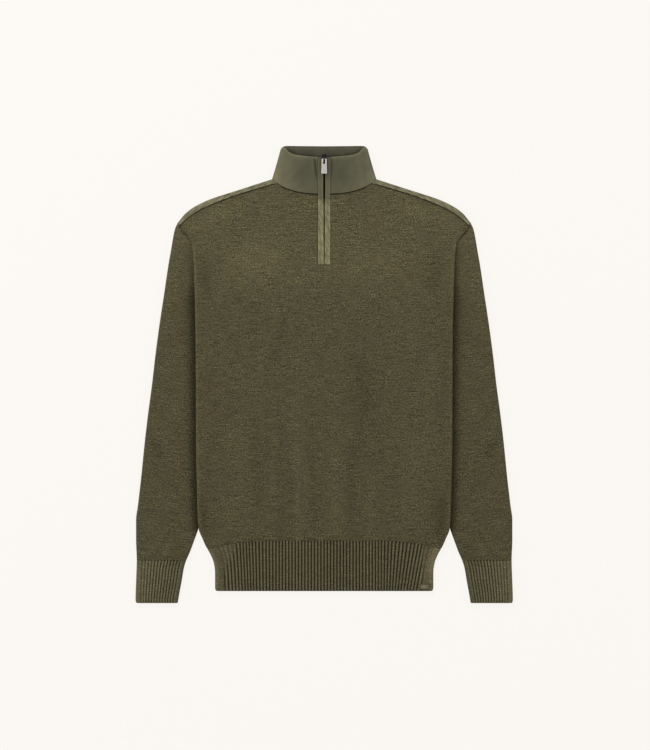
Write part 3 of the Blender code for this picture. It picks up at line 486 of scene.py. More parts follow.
def lap_height(x, y):
    """Lower surface of the front's edge that is folded under: over the back panel, and over the sleeve."""
    over = smooth((np.abs(x) - inner_edge(y) + 13) / 9)
    over = (1 - (1 - over) * smooth((UNDERARM_Y - 80 - y) / 25)) * smooth((y + 296) / 24)
    return LAP_OVER_BACK + (LAP_OVER_SLEEVE - LAP_OVER_BACK) * over


def sleeve_height(x, y):
    """Outer surface of a sleeve's upper layer: pressed down where the body lies on it."""
    pressed = smooth((body_half(np.minimum(y, ARMPIT_Y)) + 24 - np.abs(x)) / 22)
    pressed = pressed * smooth((ARMPIT_Y - y) / 25) * smooth((y - WEDGE_Y + 32) / 30)
    folds = fold_relief(SLEEVE_FOLDS, np.abs(x), y)
    folds = folds * (1 - pressed) * smooth((y - CUFF_SEAM) / 16)
    return SLEEVE_HEIGHT - (SLEEVE_HEIGHT - TUCKED_SLEEVE_HEIGHT) * pressed + folds


def collar_height(across, up):
    """Outer surface of the collar's front: a crown from fold to fold that rises towards the rim."""
    crown = COLLAR_BASE_HEIGHT + (COLLAR_RIM_HEIGHT - COLLAR_BASE_HEIGHT) * smooth(0.5 + 0.5 * up) * 2
    crown = crown - (COLLAR_RIM_HEIGHT - COLLAR_BASE_HEIGHT)
    side = SHOULDER_HEIGHT + (COLLAR_SIDE_HEIGHT - SHOULDER_HEIGHT) * np.clip(up, 0, 1)
    return side + (crown - side) * (1 - across**2)


def centre_height(y):
    """Top of the cloth beside the zip, from the placket's foot to the collar's rim."""
    share = (y - NECK_SEAM_Y) / (ZIP_TOP - NECK_SEAM_Y)
    return np.where(y < NECK_SEAM_Y, front_height(PLACKET_HALF, y), collar_height(PLACKET_HALF / 80, share))


# ---------------------------------------------------------------- meshes


def unit(vectors):
    return vectors / np.maximum(np.linalg.norm(vectors, axis=-1, keepdims=True), 1e-9)


def in_scene(name, data):
    """A new object of a mesh, lamp or camera, linked to the scene."""
    made = bpy.data.objects.new(name, data)
    bpy.context.scene.collection.objects.link(made)
    return made


def write_mesh(name, points, groups, finish, sharp=60.0, places=None, tone=None):
    """An object from points in millimetres and groups of faces, each group an array with one row per face.

    places has, for each group, the UV place of every face corner, and tone a value for every point.
    """
    mesh = bpy.data.meshes.new(name)
    sizes = np.concatenate([np.full(len(group), group.shape[1]) for group in groups])
    corners = np.concatenate([group.ravel() for group in groups])
    mesh.vertices.add(len(points))
    mesh.vertices.foreach_set("co", (np.asarray(points) * MM).astype(np.float32).ravel())
    mesh.loops.add(len(corners))
    mesh.loops.foreach_set("vertex_index", corners.astype(np.int32))
    mesh.polygons.add(len(sizes))
    mesh.polygons.foreach_set("loop_start", (np.cumsum(sizes) - sizes).astype(np.int32))
    mesh.update(calc_edges=True)
    mesh.validate()
    if places is not None:
        layer = mesh.uv_layers.new(name="cloth")
        laid = np.concatenate([place.reshape(-1, 2) for place in places])
        layer.uv.foreach_set("vector", laid.astype(np.float32).ravel())
    if tone is not None:
        mesh.attributes.new("tone", "FLOAT", "POINT").data.foreach_set("value", tone.astype(np.float32))
    mesh.materials.append(finish)
    mesh.shade_smooth()
    mesh.set_sharp_from_angle(angle=math.radians(sharp))
    return in_scene(name, mesh)


def normals(grid, ring):
    """Unit normals of a grid of points: the cross product of its steps across and along."""
    if ring:
        across = np.roll(grid, -1, axis=1) - np.roll(grid, 1, axis=1)
    else:
        across = np.gradient(grid, axis=1)
    return unit(np.cross(across, np.gradient(grid, axis=0)))


def arc_length(grid, ring):
    """Distance along each row of a grid from its first column, with one more column where the row closes."""
    closed = np.concatenate([grid, grid[:, :1]], axis=1) if ring else grid
    run = np.linalg.norm(np.diff(closed, axis=1), axis=2)
    return np.concatenate([np.zeros((len(grid), 1)), np.cumsum(run, axis=1)], axis=1)


RIM_ANGLES = (45.0, 90.0, 135.0)


def cloth(name, grid, thickness, place, finish, turn=1, ring=False, kept=None, raised=0.0, tone=1.0,
          rounding=0.7, rim_tone=0.8, sharp=60.0):
    """A closed shell of cloth from its outer surface, a grid of points (rows, columns, 3).

    The lining is the outer surface moved in along its normal by the thickness, and raised moves the outer
    points alone. At each free edge both layers draw back by rounding, and a half ellipse joins them, which
    reaches out to the edge again. place is the cloth's own (across, along) at each point, turn is 1 where
    the grid's normals face out and -1 where they face in, and kept says which cells exist.
    """
    rows, columns = grid.shape[:2]
    cells = columns if ring else columns - 1
    kept = np.ones((rows - 1, cells), bool) if kept is None else kept
    row, column = np.nonzero(kept)
    order = ((0, 0), (0, 1), (1, 1), (1, 0))[::turn]
    cover = np.stack([(row + r) * columns + (column + c) % columns for r, c in order], axis=1)
    spot = np.stack([(row + r) * (cells + 1) + column + c for r, c in order], axis=1)
    out = (normals(grid, ring) * turn).reshape(-1, 3)
    inner = grid.reshape(-1, 3) - out * thickness
    outer = grid.reshape(-1, 3) + out * np.broadcast_to(raised, (rows, columns)).reshape(-1, 1)
    start, end = cover.ravel(), np.roll(cover, -1, axis=1).ravel()
    start_spot, end_spot = spot.ravel(), np.roll(spot, -1, axis=1).ravel()
    count = rows * columns
    free = ~np.isin(start * count + end, end * count + start)
    start, end, start_spot, end_spot = start[free], end[free], start_spot[free], end_spot[free]
    away = np.zeros((count, 3))
    sideways = unit(np.cross(outer[end] - outer[start], out[start]))
    np.add.at(away, start, sideways)
    np.add.at(away, end, sideways)
    border = np.unique(start)
    rounding = np.broadcast_to(rounding, (rows, columns)).ravel()[border, None]
    rim_tone = np.broadcast_to(rim_tone, (rows, columns)).ravel()[border]
    away = unit(away[border])
    outer[border] -= away * rounding
    inner[border] -= away * rounding
    middle, half = (outer[border] + inner[border]) / 2, (outer[border] - inner[border]) / 2
    bends = [middle + half * math.cos(a) + away * rounding * math.sin(a) for a in np.radians(RIM_ANGLES)]
    slot = np.zeros(count, int)
    slot[border] = np.arange(len(border))
    chain = [np.arange(count)]
    chain += [2 * count + level * len(border) + slot for level in range(len(bends))]
    chain += [np.arange(count) + count]
    links = zip(chain[:-1], chain[1:])
    rim = np.concatenate([np.stack([a[end], a[start], b[start], b[end]], axis=1) for a, b in links])
    rim_spot = np.tile(np.stack([end_spot, start_spot, start_spot, end_spot], axis=1), (len(chain) - 1, 1))
    faces = np.concatenate([cover, cover[:, ::-1] + count, rim])
    spots = np.concatenate([spot, spot[:, ::-1], rim_spot])
    shade = np.broadcast_to(tone, (rows, columns)).ravel()
    # The rim's points take the tone times rim_tone, which paints shade on the rounded rims where they lie in
    # seams or turn under.
    shade = np.concatenate([shade, shade, np.tile(shade[border] * rim_tone, len(bends))])
    points = np.concatenate([outer, inner, *bends])
    used = np.unique(faces)
    number = np.zeros(len(points), int)
    number[used] = np.arange(len(used))
    laid = place.reshape(-1, 2)[spots]
    return write_mesh(name, points[used], [number[faces]], finish, sharp, [laid], shade[used])


MIRROR = np.array([-1.0, 1.0, 1.0])


def both_sides(half):
    """Columns from the centre line outwards, with their mirror image put before them."""
    return np.concatenate([half[:, :0:-1] * MIRROR, half], axis=1)


def ring_faces(number):
    """Four-sided faces between rings of point numbers, (..., rings, points of a ring)."""
    following = np.roll(number, -1, axis=-1)
    near, far = (number[..., :-1, :], following[..., :-1, :]), (following[..., 1:, :], number[..., 1:, :])
    return np.stack([*near, *far], axis=-1).reshape(-1, 4)


def capsules(start, end, up, half_width, half_height):
    """Points and faces of rounded bars from start to end: rings of eight points, narrower at both ends."""
    turn = np.arange(8) * math.pi / 4
    share = np.array([0.0, 0.05, 0.2, 0.5, 0.8, 0.95, 1.0])
    girth = np.array([0.35, 0.75, 1.0, 1.0, 1.0, 0.75, 0.35])
    along = unit(end - start)
    side = unit(np.cross(along, up))
    over = np.cross(side, along)
    centre = start[:, None] + (end - start)[:, None] * share[None, :, None]
    ring = side[:, None, None] * (half_width * np.cos(turn))[None, None, :, None]
    ring = ring + over[:, None, None] * (half_height * np.sin(turn))[None, None, :, None]
    points = centre[:, :, None] + ring * girth[None, :, None, None]
    bars, rings, spokes = points.shape[:3]
    number = np.arange(bars * rings * spokes).reshape(bars, rings, spokes)
    ends = np.concatenate([number[:, 0, ::-1], number[:, -1]])
    return points.reshape(-1, 3), [ring_faces(number), ends]


def stacked(rings):
    """Points and faces of a closed form from rings of points (levels, points, 3), with flat end faces."""
    levels, spokes = rings.shape[:2]
    number = np.arange(levels * spokes).reshape(levels, spokes)
    return rings.reshape(-1, 3), [ring_faces(number), np.stack([number[0, ::-1], number[-1]])]


def rounded_box(half_x, half_y, corner, pieces=6):
    """Outline of a rectangle with round corners, anticlockwise, as points (n, 2)."""
    turn = np.linspace(0, math.pi / 2, pieces + 1)
    found = []
    for quarter, (sx, sy) in enumerate(((1, 1), (-1, 1), (-1, -1), (1, -1))):
        angle = turn + quarter * math.pi / 2
        centre = np.array([sx * (half_x - corner), sy * (half_y - corner)])
        found.append(centre + corner * np.stack([np.cos(angle), np.sin(angle)], axis=1))
    return np.concatenate(found)


def drawn_in(outline, distance):
    """A closed outline with every point moved inwards by a distance, along the mean of its edges' normals."""
    ahead = unit(np.roll(outline, -1, axis=0) - np.roll(outline, 1, axis=0))
    return outline + distance * np.stack([-ahead[:, 1], ahead[:, 0]], axis=1)


# ---------------------------------------------------------------- front and back


def fold_sweep(y):
    """Angle that the front's edge turns through at a side: hardly any at the armpit, half a turn below it."""
    return FOLD_FIRST_ANGLE + (math.pi - FOLD_FIRST_ANGLE) * smooth((ARMPIT_Y - y) / 40)


def side_path(y, fold_pieces=14, tuck_pieces=4):
    """The front's side fold, an arc round the body's edge, then its tucked edge along the layer below."""
    half = body_half(y)
    sweep = fold_sweep(y)
    tip = half - 1.0
    radius = np.maximum(FOLD_LEAST_RADIUS, (front_height(tip - 3, y) - lap_height(tip - 3, y)) / 2)
    start = half - radius * np.sin(np.minimum(sweep, math.pi / 2))
    top = front_height(start, y)
    turn = sweep[:, None] * np.linspace(0, 1, fold_pieces + 1)[None, 1:]
    fold_x = start[:, None] + radius[:, None] * np.sin(turn)
    fold_z = top[:, None] - radius[:, None] * (1 - np.cos(turn))
    inner = inner_edge(y)
    reach = np.where(y > UNDERARM_Y, 0.2, 0.2 + 0.8 * smooth((UNDERARM_Y - y) / 40))
    past_sleeve = inner[:, None] + np.array([TUCK_PAST_SLEEVE])
    tucked = np.minimum(past_sleeve, start[:, None] - np.array([TUCK_LEAST]))
    corners = np.concatenate([start[:, None], tucked], axis=1)
    share = np.linspace(0, 3, 3 * tuck_pieces + 1)[1:]
    cell = np.minimum(share.astype(int), 2)
    tucked = corners[:, cell] + (corners[:, cell + 1] - corners[:, cell]) * (share - cell)
    tucked = start[:, None] + (tucked - start[:, None]) * reach[:, None]
    share = share[None] / 3
    whole = (sweep > math.pi - 1e-6)[:, None]
    tuck_x = np.where(whole, tucked, fold_x[:, -1:] + 0.5 * share * np.cos(sweep)[:, None])
    level = np.where(whole, lap_height(tuck_x, y[:, None]), 0.0)
    join = fold_z[:, -1:] - lap_height(start, y)[:, None]
    short_z = fold_z[:, -1:] - 0.5 * share * np.sin(sweep)[:, None]
    tuck_z = np.where(whole, level + join * (1 - smooth(share)), short_z)
    x = np.concatenate([fold_x, tuck_x], axis=1)
    z = np.concatenate([fold_z, tuck_z], axis=1)
    return start, np.stack([x, np.broadcast_to(y[:, None], x.shape), z], axis=2)


CREASE_SHADE = 0.068


def painted_upper_light(y):
    """Painted light down the garment: the chest and shoulders are painted lighter, where more light falls,
    and the lower part a little darker.
    """
    return 1 + 0.14 * smooth((y - 100) / 80) - 0.02 * smooth((-60 - y) / 80)


def front_painted_shading(x, y):
    """Painted light and shade of the front: painted highlights on ridges and along the side folds' edges,
    painted shade in troughs and along the top seams.
    """
    aside = np.abs(x)
    down = np.clip(front_top_line(x) - y, 0, None)
    at_neck = smooth((NECK_SIDE_X + 6 - aside) / 12)
    # Painted shade: a dark line in the groove of the neck and shoulder seams, and a wider band below them,
    # deeper at the neck.
    line = (0.84 - 0.36 * at_neck) * bell(down, 1.9 - 0.9 * at_neck)
    seam = 1 - line - (0.03 + 0.12 * at_neck) * bell(down, 8)
    inside = body_half(np.minimum(y, ARMPIT_Y)) - aside
    # A painted highlight along the edge of each side fold.
    side = 1 + 0.16 * bell(inside - 1.2, 2.6) * smooth((ARMPIT_Y + 4 - y) / 8)
    return (1 + CREASE_SHADE * fold_relief(FRONT_FOLDS, x, y)) * seam * side * painted_upper_light(y)


def feet_on_hem(column_x, columns):
    """Height of each column's foot on the hem seam. Where a column stands depends on its height, so the two
    are found in turn, in four rounds."""
    foot = np.full_like(columns, HEM_SEAM)
    for _ in range(4):
        foot = hem_line(column_x(foot)) + RIB_SEAM_GAP
    return foot


def make_front(finish):
    """The front panel: the sheet from the neck and shoulder seams to the hem seam, at front_height, with a
    notch for the zip, and at each side the arc and the tucked edge of side_path."""
    notch = PLACKET_HALF + SEAM_GAP
    columns = np.concatenate(
        [
            np.linspace(0, notch, 5)[:-1],
            np.linspace(notch, NECK_CORNER_X, 24)[:-1],
            np.linspace(NECK_CORNER_X, SHOULDER_TIP_X, 55),
        ]
    )
    share = np.clip((columns - notch) / (SHOULDER_TIP_X - notch), 0, 1)
    top = front_top_line(np.maximum(columns, notch)) - SEAM_GAP
    top[-1] = SHOULDER_TIP_Y - SEAM_GAP
    notch_row = (top[0] - PLACKET_END + SEAM_GAP) / (top[0] - HEM_SEAM)
    armpit_row = (top[-1] - ARMPIT_Y) / (top[-1] - HEM_SEAM + HEM_SEAM_DROP)
    rows_to_armpit, rows_to_notch = 16, 30
    down = steps(
        (0.006, 4), (armpit_row, rows_to_armpit - 4), (notch_row, rows_to_notch), (0.86, 112), (1.0, 28)
    )

    def column_x(y):
        below = side_path(np.minimum(y, ARMPIT_Y).ravel())[0].reshape(y.shape)
        above = np.minimum(inner_edge(y) - ARMHOLE_SEAM_GAP, SHOULDER_TIP_X + FRONT_PAST_TIP)
        return np.minimum(columns, notch) + (np.where(y > ARMPIT_Y, above, below) - notch) * share

    y = top + (feet_on_hem(column_x, columns) - top) * down[:, None]
    x = column_x(y)
    sheet = np.stack([x, y, front_height(x, y)], axis=2)
    side_y = y[:, -1]
    roll = side_path(np.minimum(side_y, ARMPIT_Y))[1]
    roll[..., 1] = side_y[:, None]
    half = np.concatenate([sheet, roll], axis=1)
    grid = both_sides(half)
    middle = half.shape[1] - 1
    kept = np.ones((grid.shape[0] - 1, grid.shape[1] - 1), bool)
    kept[:rows_to_armpit, : roll.shape[1]] = False
    kept[:rows_to_armpit, -roll.shape[1] :] = False
    kept[: rows_to_armpit + rows_to_notch, middle - 4 : middle + 4] = False
    run = arc_length(grid, False)
    place = np.stack([run - run[:, middle : middle + 1], grid[..., 1]], axis=-1)
    tone = front_painted_shading(grid[..., 0], grid[..., 1])
    top_row = (np.arange(len(grid)) == 0)[:, None] & np.ones(grid.shape[1], bool)
    beside_zip = np.abs(grid[..., 0]) < notch + 0.5
    rounding = np.where(top_row, 0.5, np.where(beside_zip, 0.35, 0.3))
    # Painted shade on the rims: darkest in the top seam's groove, less beside the zip and least elsewhere.
    rim_tone = np.where(top_row, 0.15, np.where(beside_zip, 0.7, 0.9))
    return cloth(
        "front_panel", grid, KNIT, place, finish, turn=-1, kept=kept, tone=tone,
        rounding=rounding, rim_tone=rim_tone,
    )


def back_half(y):
    """Half width of the back panel: up to the armhole seam, the tucked sleeve or the side fold."""
    fold = body_half(np.minimum(y, UNDERARM_Y)) - BACK_INSET
    seam = inner_edge(y) - BACK_ARMHOLE_GAP
    return np.where(y > UNDERARM_Y, seam, np.minimum(seam, fold))


def make_back(finish):
    """The back panel, flat on the floor but for its soft folds, from the back neck to the hem rib."""
    tip_x = SHOULDER_TIP_X - BACK_TIP_INSET
    below_neck = np.linspace(0, BACK_NECK_CORNER_X, 18)
    columns = np.concatenate([below_neck, np.linspace(BACK_NECK_CORNER_X, tip_x, 46)[1:]])
    strip_edge = through(SHOULDER_FOLD, columns) - STRIP_BACK_WIDTH - SEAM_GAP
    neck_edge = through(COLLAR_BACK_BASE, columns) - RIB_SEAM_GAP
    top = np.where(columns <= BACK_NECK_CORNER_X, neck_edge, strip_edge)
    share = columns / tip_x

    def column_x(y):
        return np.minimum(back_half(y), tip_x) * share

    foot = feet_on_hem(column_x, columns)
    underarm_row = (top[-1] - UNDERARM_Y) / (top[-1] - foot[-1])
    down = steps((underarm_row, 40), (0.9, 70), (1.0, 14))
    y = top + (foot - top) * down[:, None]
    x = column_x(y)
    grid = both_sides(np.stack([x, y, np.zeros_like(x)], axis=2))
    inside = smooth((back_half(grid[..., 1]) - 34 - np.abs(grid[..., 0])) / 20)
    grid[..., 2] = fold_relief(BACK_FOLDS, grid[..., 0], grid[..., 1]) * inside
    place = np.stack([-grid[..., 0], grid[..., 1]], axis=-1)
    tone = 1 - 0.06 * grid[..., 2]
    return cloth("back_panel", grid, KNIT, place, finish, tone=tone)


# ---------------------------------------------------------------- sleeves, cuffs and hem


def level_at(height):
    """A height(x, y) that is the same everywhere."""
    return lambda x, y: height + 0 * x


def flat_tube(outer_fold, inner_fold, bend, height, under, columns, lower_columns, fold_pieces=12):
    """Rings of a tube laid flat: upper layer, inner fold, lower layer on the floor, outer fold.

    The folds are (rows, 2) points in plan and half circles in section, bend(share) moves a ring off the
    straight line between them, height(x, y) is the upper layer's top and under(x, y) the lower layer's lift.
    columns and lower_columns are shares of the way across.
    """
    span = inner_fold - outer_fold
    width = np.linalg.norm(span, axis=1)

    def place(share):
        flat = outer_fold[:, None] + span[:, None] * share[..., None]
        return flat + bend(share)

    def edge_radius(share):
        flat = place(np.full((len(width), 1), share))
        return height(flat[..., 0], flat[..., 1])[:, 0] / 2

    outer_radius, inner_radius = edge_radius(0.04), edge_radius(0.96)
    first, last = outer_radius / width, 1 - inner_radius / width
    upper = place(first[:, None] + (last - first)[:, None] * columns[None])
    upper_z = height(upper[..., 0], upper[..., 1])
    ends = smooth(columns / 0.04) * smooth((1 - columns) / 0.04)
    fold_top = 2 * np.where(columns < 0.5, outer_radius[:, None], inner_radius[:, None])
    upper_z = upper_z * ends + fold_top * (1 - ends)
    turn = np.linspace(0, math.pi, fold_pieces + 1)[None, 1:-1]
    inner_share = last[:, None] + (inner_radius / width)[:, None] * np.sin(turn)
    lower = place(first[:, None] + (last - first)[:, None] * lower_columns[None, ::-1])
    lower_ends = smooth(lower_columns / 0.1) * smooth((1 - lower_columns) / 0.1)
    lower_z = under(lower[..., 0], lower[..., 1]) * lower_ends
    outer_share = first[:, None] - (outer_radius / width)[:, None] * np.sin(turn)
    plan = np.concatenate([upper, place(inner_share), lower, place(outer_share)], axis=1)
    inner_z = inner_radius[:, None] * (1 + np.cos(turn))
    outer_z = outer_radius[:, None] * (1 - np.cos(turn))
    z = np.concatenate([upper_z, inner_z, lower_z, outer_z], axis=1)
    return np.concatenate([plan, z[..., None]], axis=2)


def armhole_bend(share):
    """How far the armhole seam strays from the straight line between its ends, in plan."""
    rows = np.array([row for row in SLEEVE_INNER if row[0] >= UNDERARM_Y])[:, ::-1]
    span = rows[-1] - rows[0]
    at = (rows - rows[0]) @ span / (span @ span)
    stray = rows - (rows[0] + at[:, None] * span)
    return np.stack([through(list(zip(at, stray[:, i])), share) for i in (0, 1)], axis=-1)


def word(side):
    return "right" if side > 0 else "left"


SLEEVE_LEAN = math.radians(9.5)


def painted_body_shadow(x, y, side):
    """Painted shadow on the sleeve beside the body's side fold, which lies on it: a dark band, deeper below
    the armpit and a little deeper towards -X."""
    aside = np.clip(np.abs(x) - body_half(np.minimum(y, ARMPIT_Y)), 0, None)
    below = smooth((204 - y) / 84)
    ends = smooth((ARMPIT_Y + 14 - y) / 20) * smooth((y + 292) / 30)
    deep = (0.16 + (0.3825 - 0.0575 * side) * below) * ends
    return 1 - deep * bell(aside, 3.6 + 6.6 * below) - 0.08 * below * bell(aside, 20)


def make_sleeve(side, finish):
    """A sleeve, laid flat, from the armhole seam to the cuff; side is 1 at +X and -1 at -X."""
    down = steps((0.12, 24), (0.3, 30), (0.8, 74), (1.0, 34))
    foot = CUFF_SEAM + RIB_SEAM_GAP
    outer_y = SLEEVE_TOP + (foot - SLEEVE_TOP) * down
    inner_y = UNDERARM_Y + (foot - UNDERARM_Y) * down
    outer_fold = np.stack([through(SLEEVE_OUTER, outer_y), outer_y], axis=1)
    inner_fold = np.stack([inner_edge(inner_y), inner_y], axis=1)
    fade = ((1 - down) ** 3)[:, None, None]

    def under(x, y):
        return fold_relief(SLEEVE_BACK_FOLDS, x, y)

    columns = steps((ARMPIT_SHARE, 16), (0.5, 16), (1.0, 24))
    lower_columns = np.linspace(0, 1, 34)
    grid = flat_tube(
        outer_fold, inner_fold, lambda share: fade * armhole_bend(share), sleeve_height, under,
        columns, lower_columns,
    )
    fold = (grid.shape[1] - len(columns) - len(lower_columns)) // 2
    past_upper = np.arange(grid.shape[1]) - len(columns) - fold
    lower = (past_upper >= 0) & (past_upper < len(lower_columns))
    relief = fold_relief(SLEEVE_FOLDS, grid[..., 0], grid[..., 1])
    # Painted light and shade of the sleeve: lighter on ridges and high up, darker in troughs and in the
    # painted shadow of the body; the lower layer is darker where its folds lift it.
    shaded = (1 + CREASE_SHADE * relief) * painted_body_shadow(grid[..., 0], grid[..., 1], side)
    tone = np.where(lower[None], 1 - 0.08 * grid[..., 2], shaded * painted_upper_light(grid[..., 1]))
    axis = grid[..., 1] * math.cos(SLEEVE_LEAN) - grid[..., 0] * math.sin(SLEEVE_LEAN)
    grid[..., 0] *= side
    axis = np.concatenate([axis, axis[:, :1]], axis=1)
    place = np.stack([arc_length(grid, True), axis], axis=-1)
    name = "sleeve_" + word(side) + "_panel"
    return cloth(
        name, grid, KNIT, place, finish, turn=side, ring=True, tone=tone, rounding=0.25, rim_tone=0.9
    )


def groove(ribs):
    """Depth of a row of ribs at each column, from 0 on a crest to 1 in a groove: ((1 + cos) / 2) ^ power."""
    phase = np.arange(ribs * RIB_COLUMNS + 1) / RIB_COLUMNS
    return (0.5 + 0.5 * np.cos(2 * math.pi * phase)) ** GROOVE_POWER


def rib_tube(
    name, outer_fold, inner_fold, bend, height, ribs, pitch, finish, turn, relief, shade, crest, drop
):
    """A ribbed tube laid flat, its lower layer ribbed too, with crests on the floor, and height above it.

    relief(from the outer fold, from the inner fold, y) is how much of the ribs' full depth they have,
    shade(x, y) the painted light and shade of the cloth between them, crest how much lighter a crest is
    painted, as a highlight, and drop how much darker a groove is painted, as shade.
    """
    columns = np.linspace(0, 1, ribs * RIB_COLUMNS + 1)
    grid = flat_tube(outer_fold, inner_fold, bend, level_at(height), level_at(0), columns, columns)
    fold = (grid.shape[1] - 2 * len(columns)) // 2
    none = np.zeros(fold)
    from_outer = np.concatenate([columns, none, columns[::-1], none])[None] * ribs * pitch
    full = relief(from_outer, ribs * pitch - from_outer, grid[..., 1])
    full = full * np.concatenate([0 * columns + 1, none, 0 * columns + 1, none])
    depth = full * np.concatenate([groove(ribs), none, groove(ribs), none])
    side = FOLD_RIBS * np.linspace(0, 1, fold + 2)[1:]
    across = np.concatenate([columns * ribs, ribs + side[:-1], ribs + FOLD_RIBS + columns * ribs])
    across = np.concatenate([across, 2 * ribs + FOLD_RIBS + side]) * pitch
    across = np.broadcast_to(across, (len(grid), len(across)))
    along = np.concatenate([grid[..., 1], grid[:, :1, 1]], axis=1)
    tone = shade(grid[..., 0], grid[..., 1]) * (1 + crest * full - (crest + drop) * depth)
    row = np.arange(len(grid))[:, None]
    # The last two rows, at the rib's rounded foot, are painted darker as shade.
    tone = tone * (1 - 0.35 * (row == len(grid) - 1) - 0.12 * (row == len(grid) - 2))
    return cloth(
        name, grid, RIB_KNIT, np.stack([across, along], axis=-1), finish, turn=turn, ring=True,
        raised=-RIB_DEPTH * depth, tone=tone, rounding=np.where(row == 0, 0.35, 0.9),
        rim_tone=np.where(row == 0, 0.8, 0.55), sharp=80.0,
    )


def make_cuff(side, finish):
    """A ribbed cuff, laid flat and a little flared at its end."""
    top = CUFF_SEAM - RIB_SEAM_GAP
    y = top + (CUFF_END - top) * steps((0.1, 6), (0.9, 20), (1.0, 6))
    outer_fold = np.stack([side * through(SLEEVE_OUTER, y), y], axis=1)
    inner_fold = np.stack([side * inner_edge(y), y], axis=1)
    ribs = int(round((abs(outer_fold[16, 0] - inner_fold[16, 0]) - CUFF_FOLDS) / CUFF_RIB))

    def relief(from_outer, from_inner, y):
        return smooth(from_outer / 3) * (0.66 + 0.34 * smooth((from_outer - 5) / 24)) * smooth(from_inner / 2)

    # Painted light and shade of the cuff: lighter towards its outer side, painted shade near the top by the
    # seam and along the inner fold.
    def shade(x, y):
        outer_part = smooth((np.abs(x) - 262) / 40)
        at_top = 0.16 * bell(np.abs(x) - 256, 12) * bell(y - CUFF_SEAM, 18)
        return 1.18 + 0.14 * outer_part - at_top - 0.4 * bell(np.abs(x) - inner_edge(y), 5.4)

    name = "cuff_" + word(side) + "_rib"
    return rib_tube(
        name, outer_fold, inner_fold, lambda share: 0.0, SLEEVE_HEIGHT, ribs, CUFF_RIB, finish, side,
        relief, shade, crest=0.3, drop=0.7,
    )


def make_hem(finish):
    """The ribbed hem, a tube laid flat, whose top seam drops towards the sides.

    Its ribs stand straight in the middle, and its wider top is taken up by the smooth cloth at the sides.
    Towards +X they lean out by HEM_LEAN over the hem's height. Before both folds they are shifted towards the
    middle, by HEM_GATHER_LEFT and HEM_GATHER_RIGHT, and at -X they spread by HEM_SPREAD_LEFT up to the seam.
    """
    top = HEM_SEAM - RIB_SEAM_GAP
    y = top + (HEM_END - top) * steps((0.08, 5), (0.92, 16), (1.0, 6))
    fade = (HEM_END - y) / (HEM_END - HEM_SEAM)
    half = body_half(y - HEM_SEAM_DROP * fade)
    ribs = 2 * int(round(half[14] / HEM_RIB))
    widening = (half - half[-1])[:, None]

    def bend(share):
        aside = 2 * share - 1
        at_side = smooth((aside - 0.88) / 0.12)
        lean = HEM_LEAN * fade[:, None] * smooth((aside - 0.5) / 0.36) * (1 - at_side)
        gathered = HEM_GATHER_LEFT * smooth((-aside - 0.6) / 0.2)
        gathered = gathered - HEM_SPREAD_LEFT * fade[:, None] * smooth((-aside - 0.45) / 0.35)
        gathered = gathered * smooth((1 + aside) / 0.14)
        gathered = gathered - HEM_GATHER_RIGHT * smooth((aside - 0.42) / 0.42) * smooth((1 - aside) / 0.12)
        spread = lean + gathered + widening * (at_side - smooth((-aside - 0.76) / 0.24) - aside)
        drop = fade[:, None] * (hem_line(aside * half[0] + spread[:1]) - HEM_SEAM)
        return np.stack([spread, drop], axis=2)

    def relief(from_outer, from_inner, y):
        higher = smooth((y + 345) / 60)
        left = smooth((from_outer - 6 - 24 * higher) / 10) + 0.3 * smooth((from_outer - 6) / 6)
        right = smooth((from_inner - 7 - 9 * higher) / 12) + 0.3 * smooth((from_inner - 5) / 6)
        return np.minimum(left, 1) * np.minimum(right, 1)

    # Painted light and shade of the hem: lighter bands below the body's ridges and darker below its troughs,
    # painted highlights along both side folds, and painted shade just inside the left one.
    def shade(x, y):
        inside = body_half(y) - np.abs(x)
        middle = 0.86 + 0.12 * smooth((60 - inside) / 50) + 0.03 * bell(x + 60, 60)
        middle = middle + 0.035 * bell(x - 78, 18) + 0.03 * bell(x + 33, 22) - 0.03 * bell(x - 20, 14)
        lit = 0.46 * bell(inside - 2.5, 3.6) - 0.08 * bell(inside - 15, 8)
        right = 0.4 * bell(inside - 8, 6.5) * smooth((y + 356) / 30) + 0.42 * bell(inside - 3, 4)
        return middle + np.where(x < 0, lit, right)

    left, right = np.stack([-half, y], axis=1), np.stack([half, y], axis=1)
    return rib_tube(
        "hem_rib", left, right, bend, HEM_HEIGHT, ribs, HEM_RIB, finish, -1,
        relief, shade, crest=0.55, drop=0.91,
    )


# ---------------------------------------------------------------- shoulder strips and collar


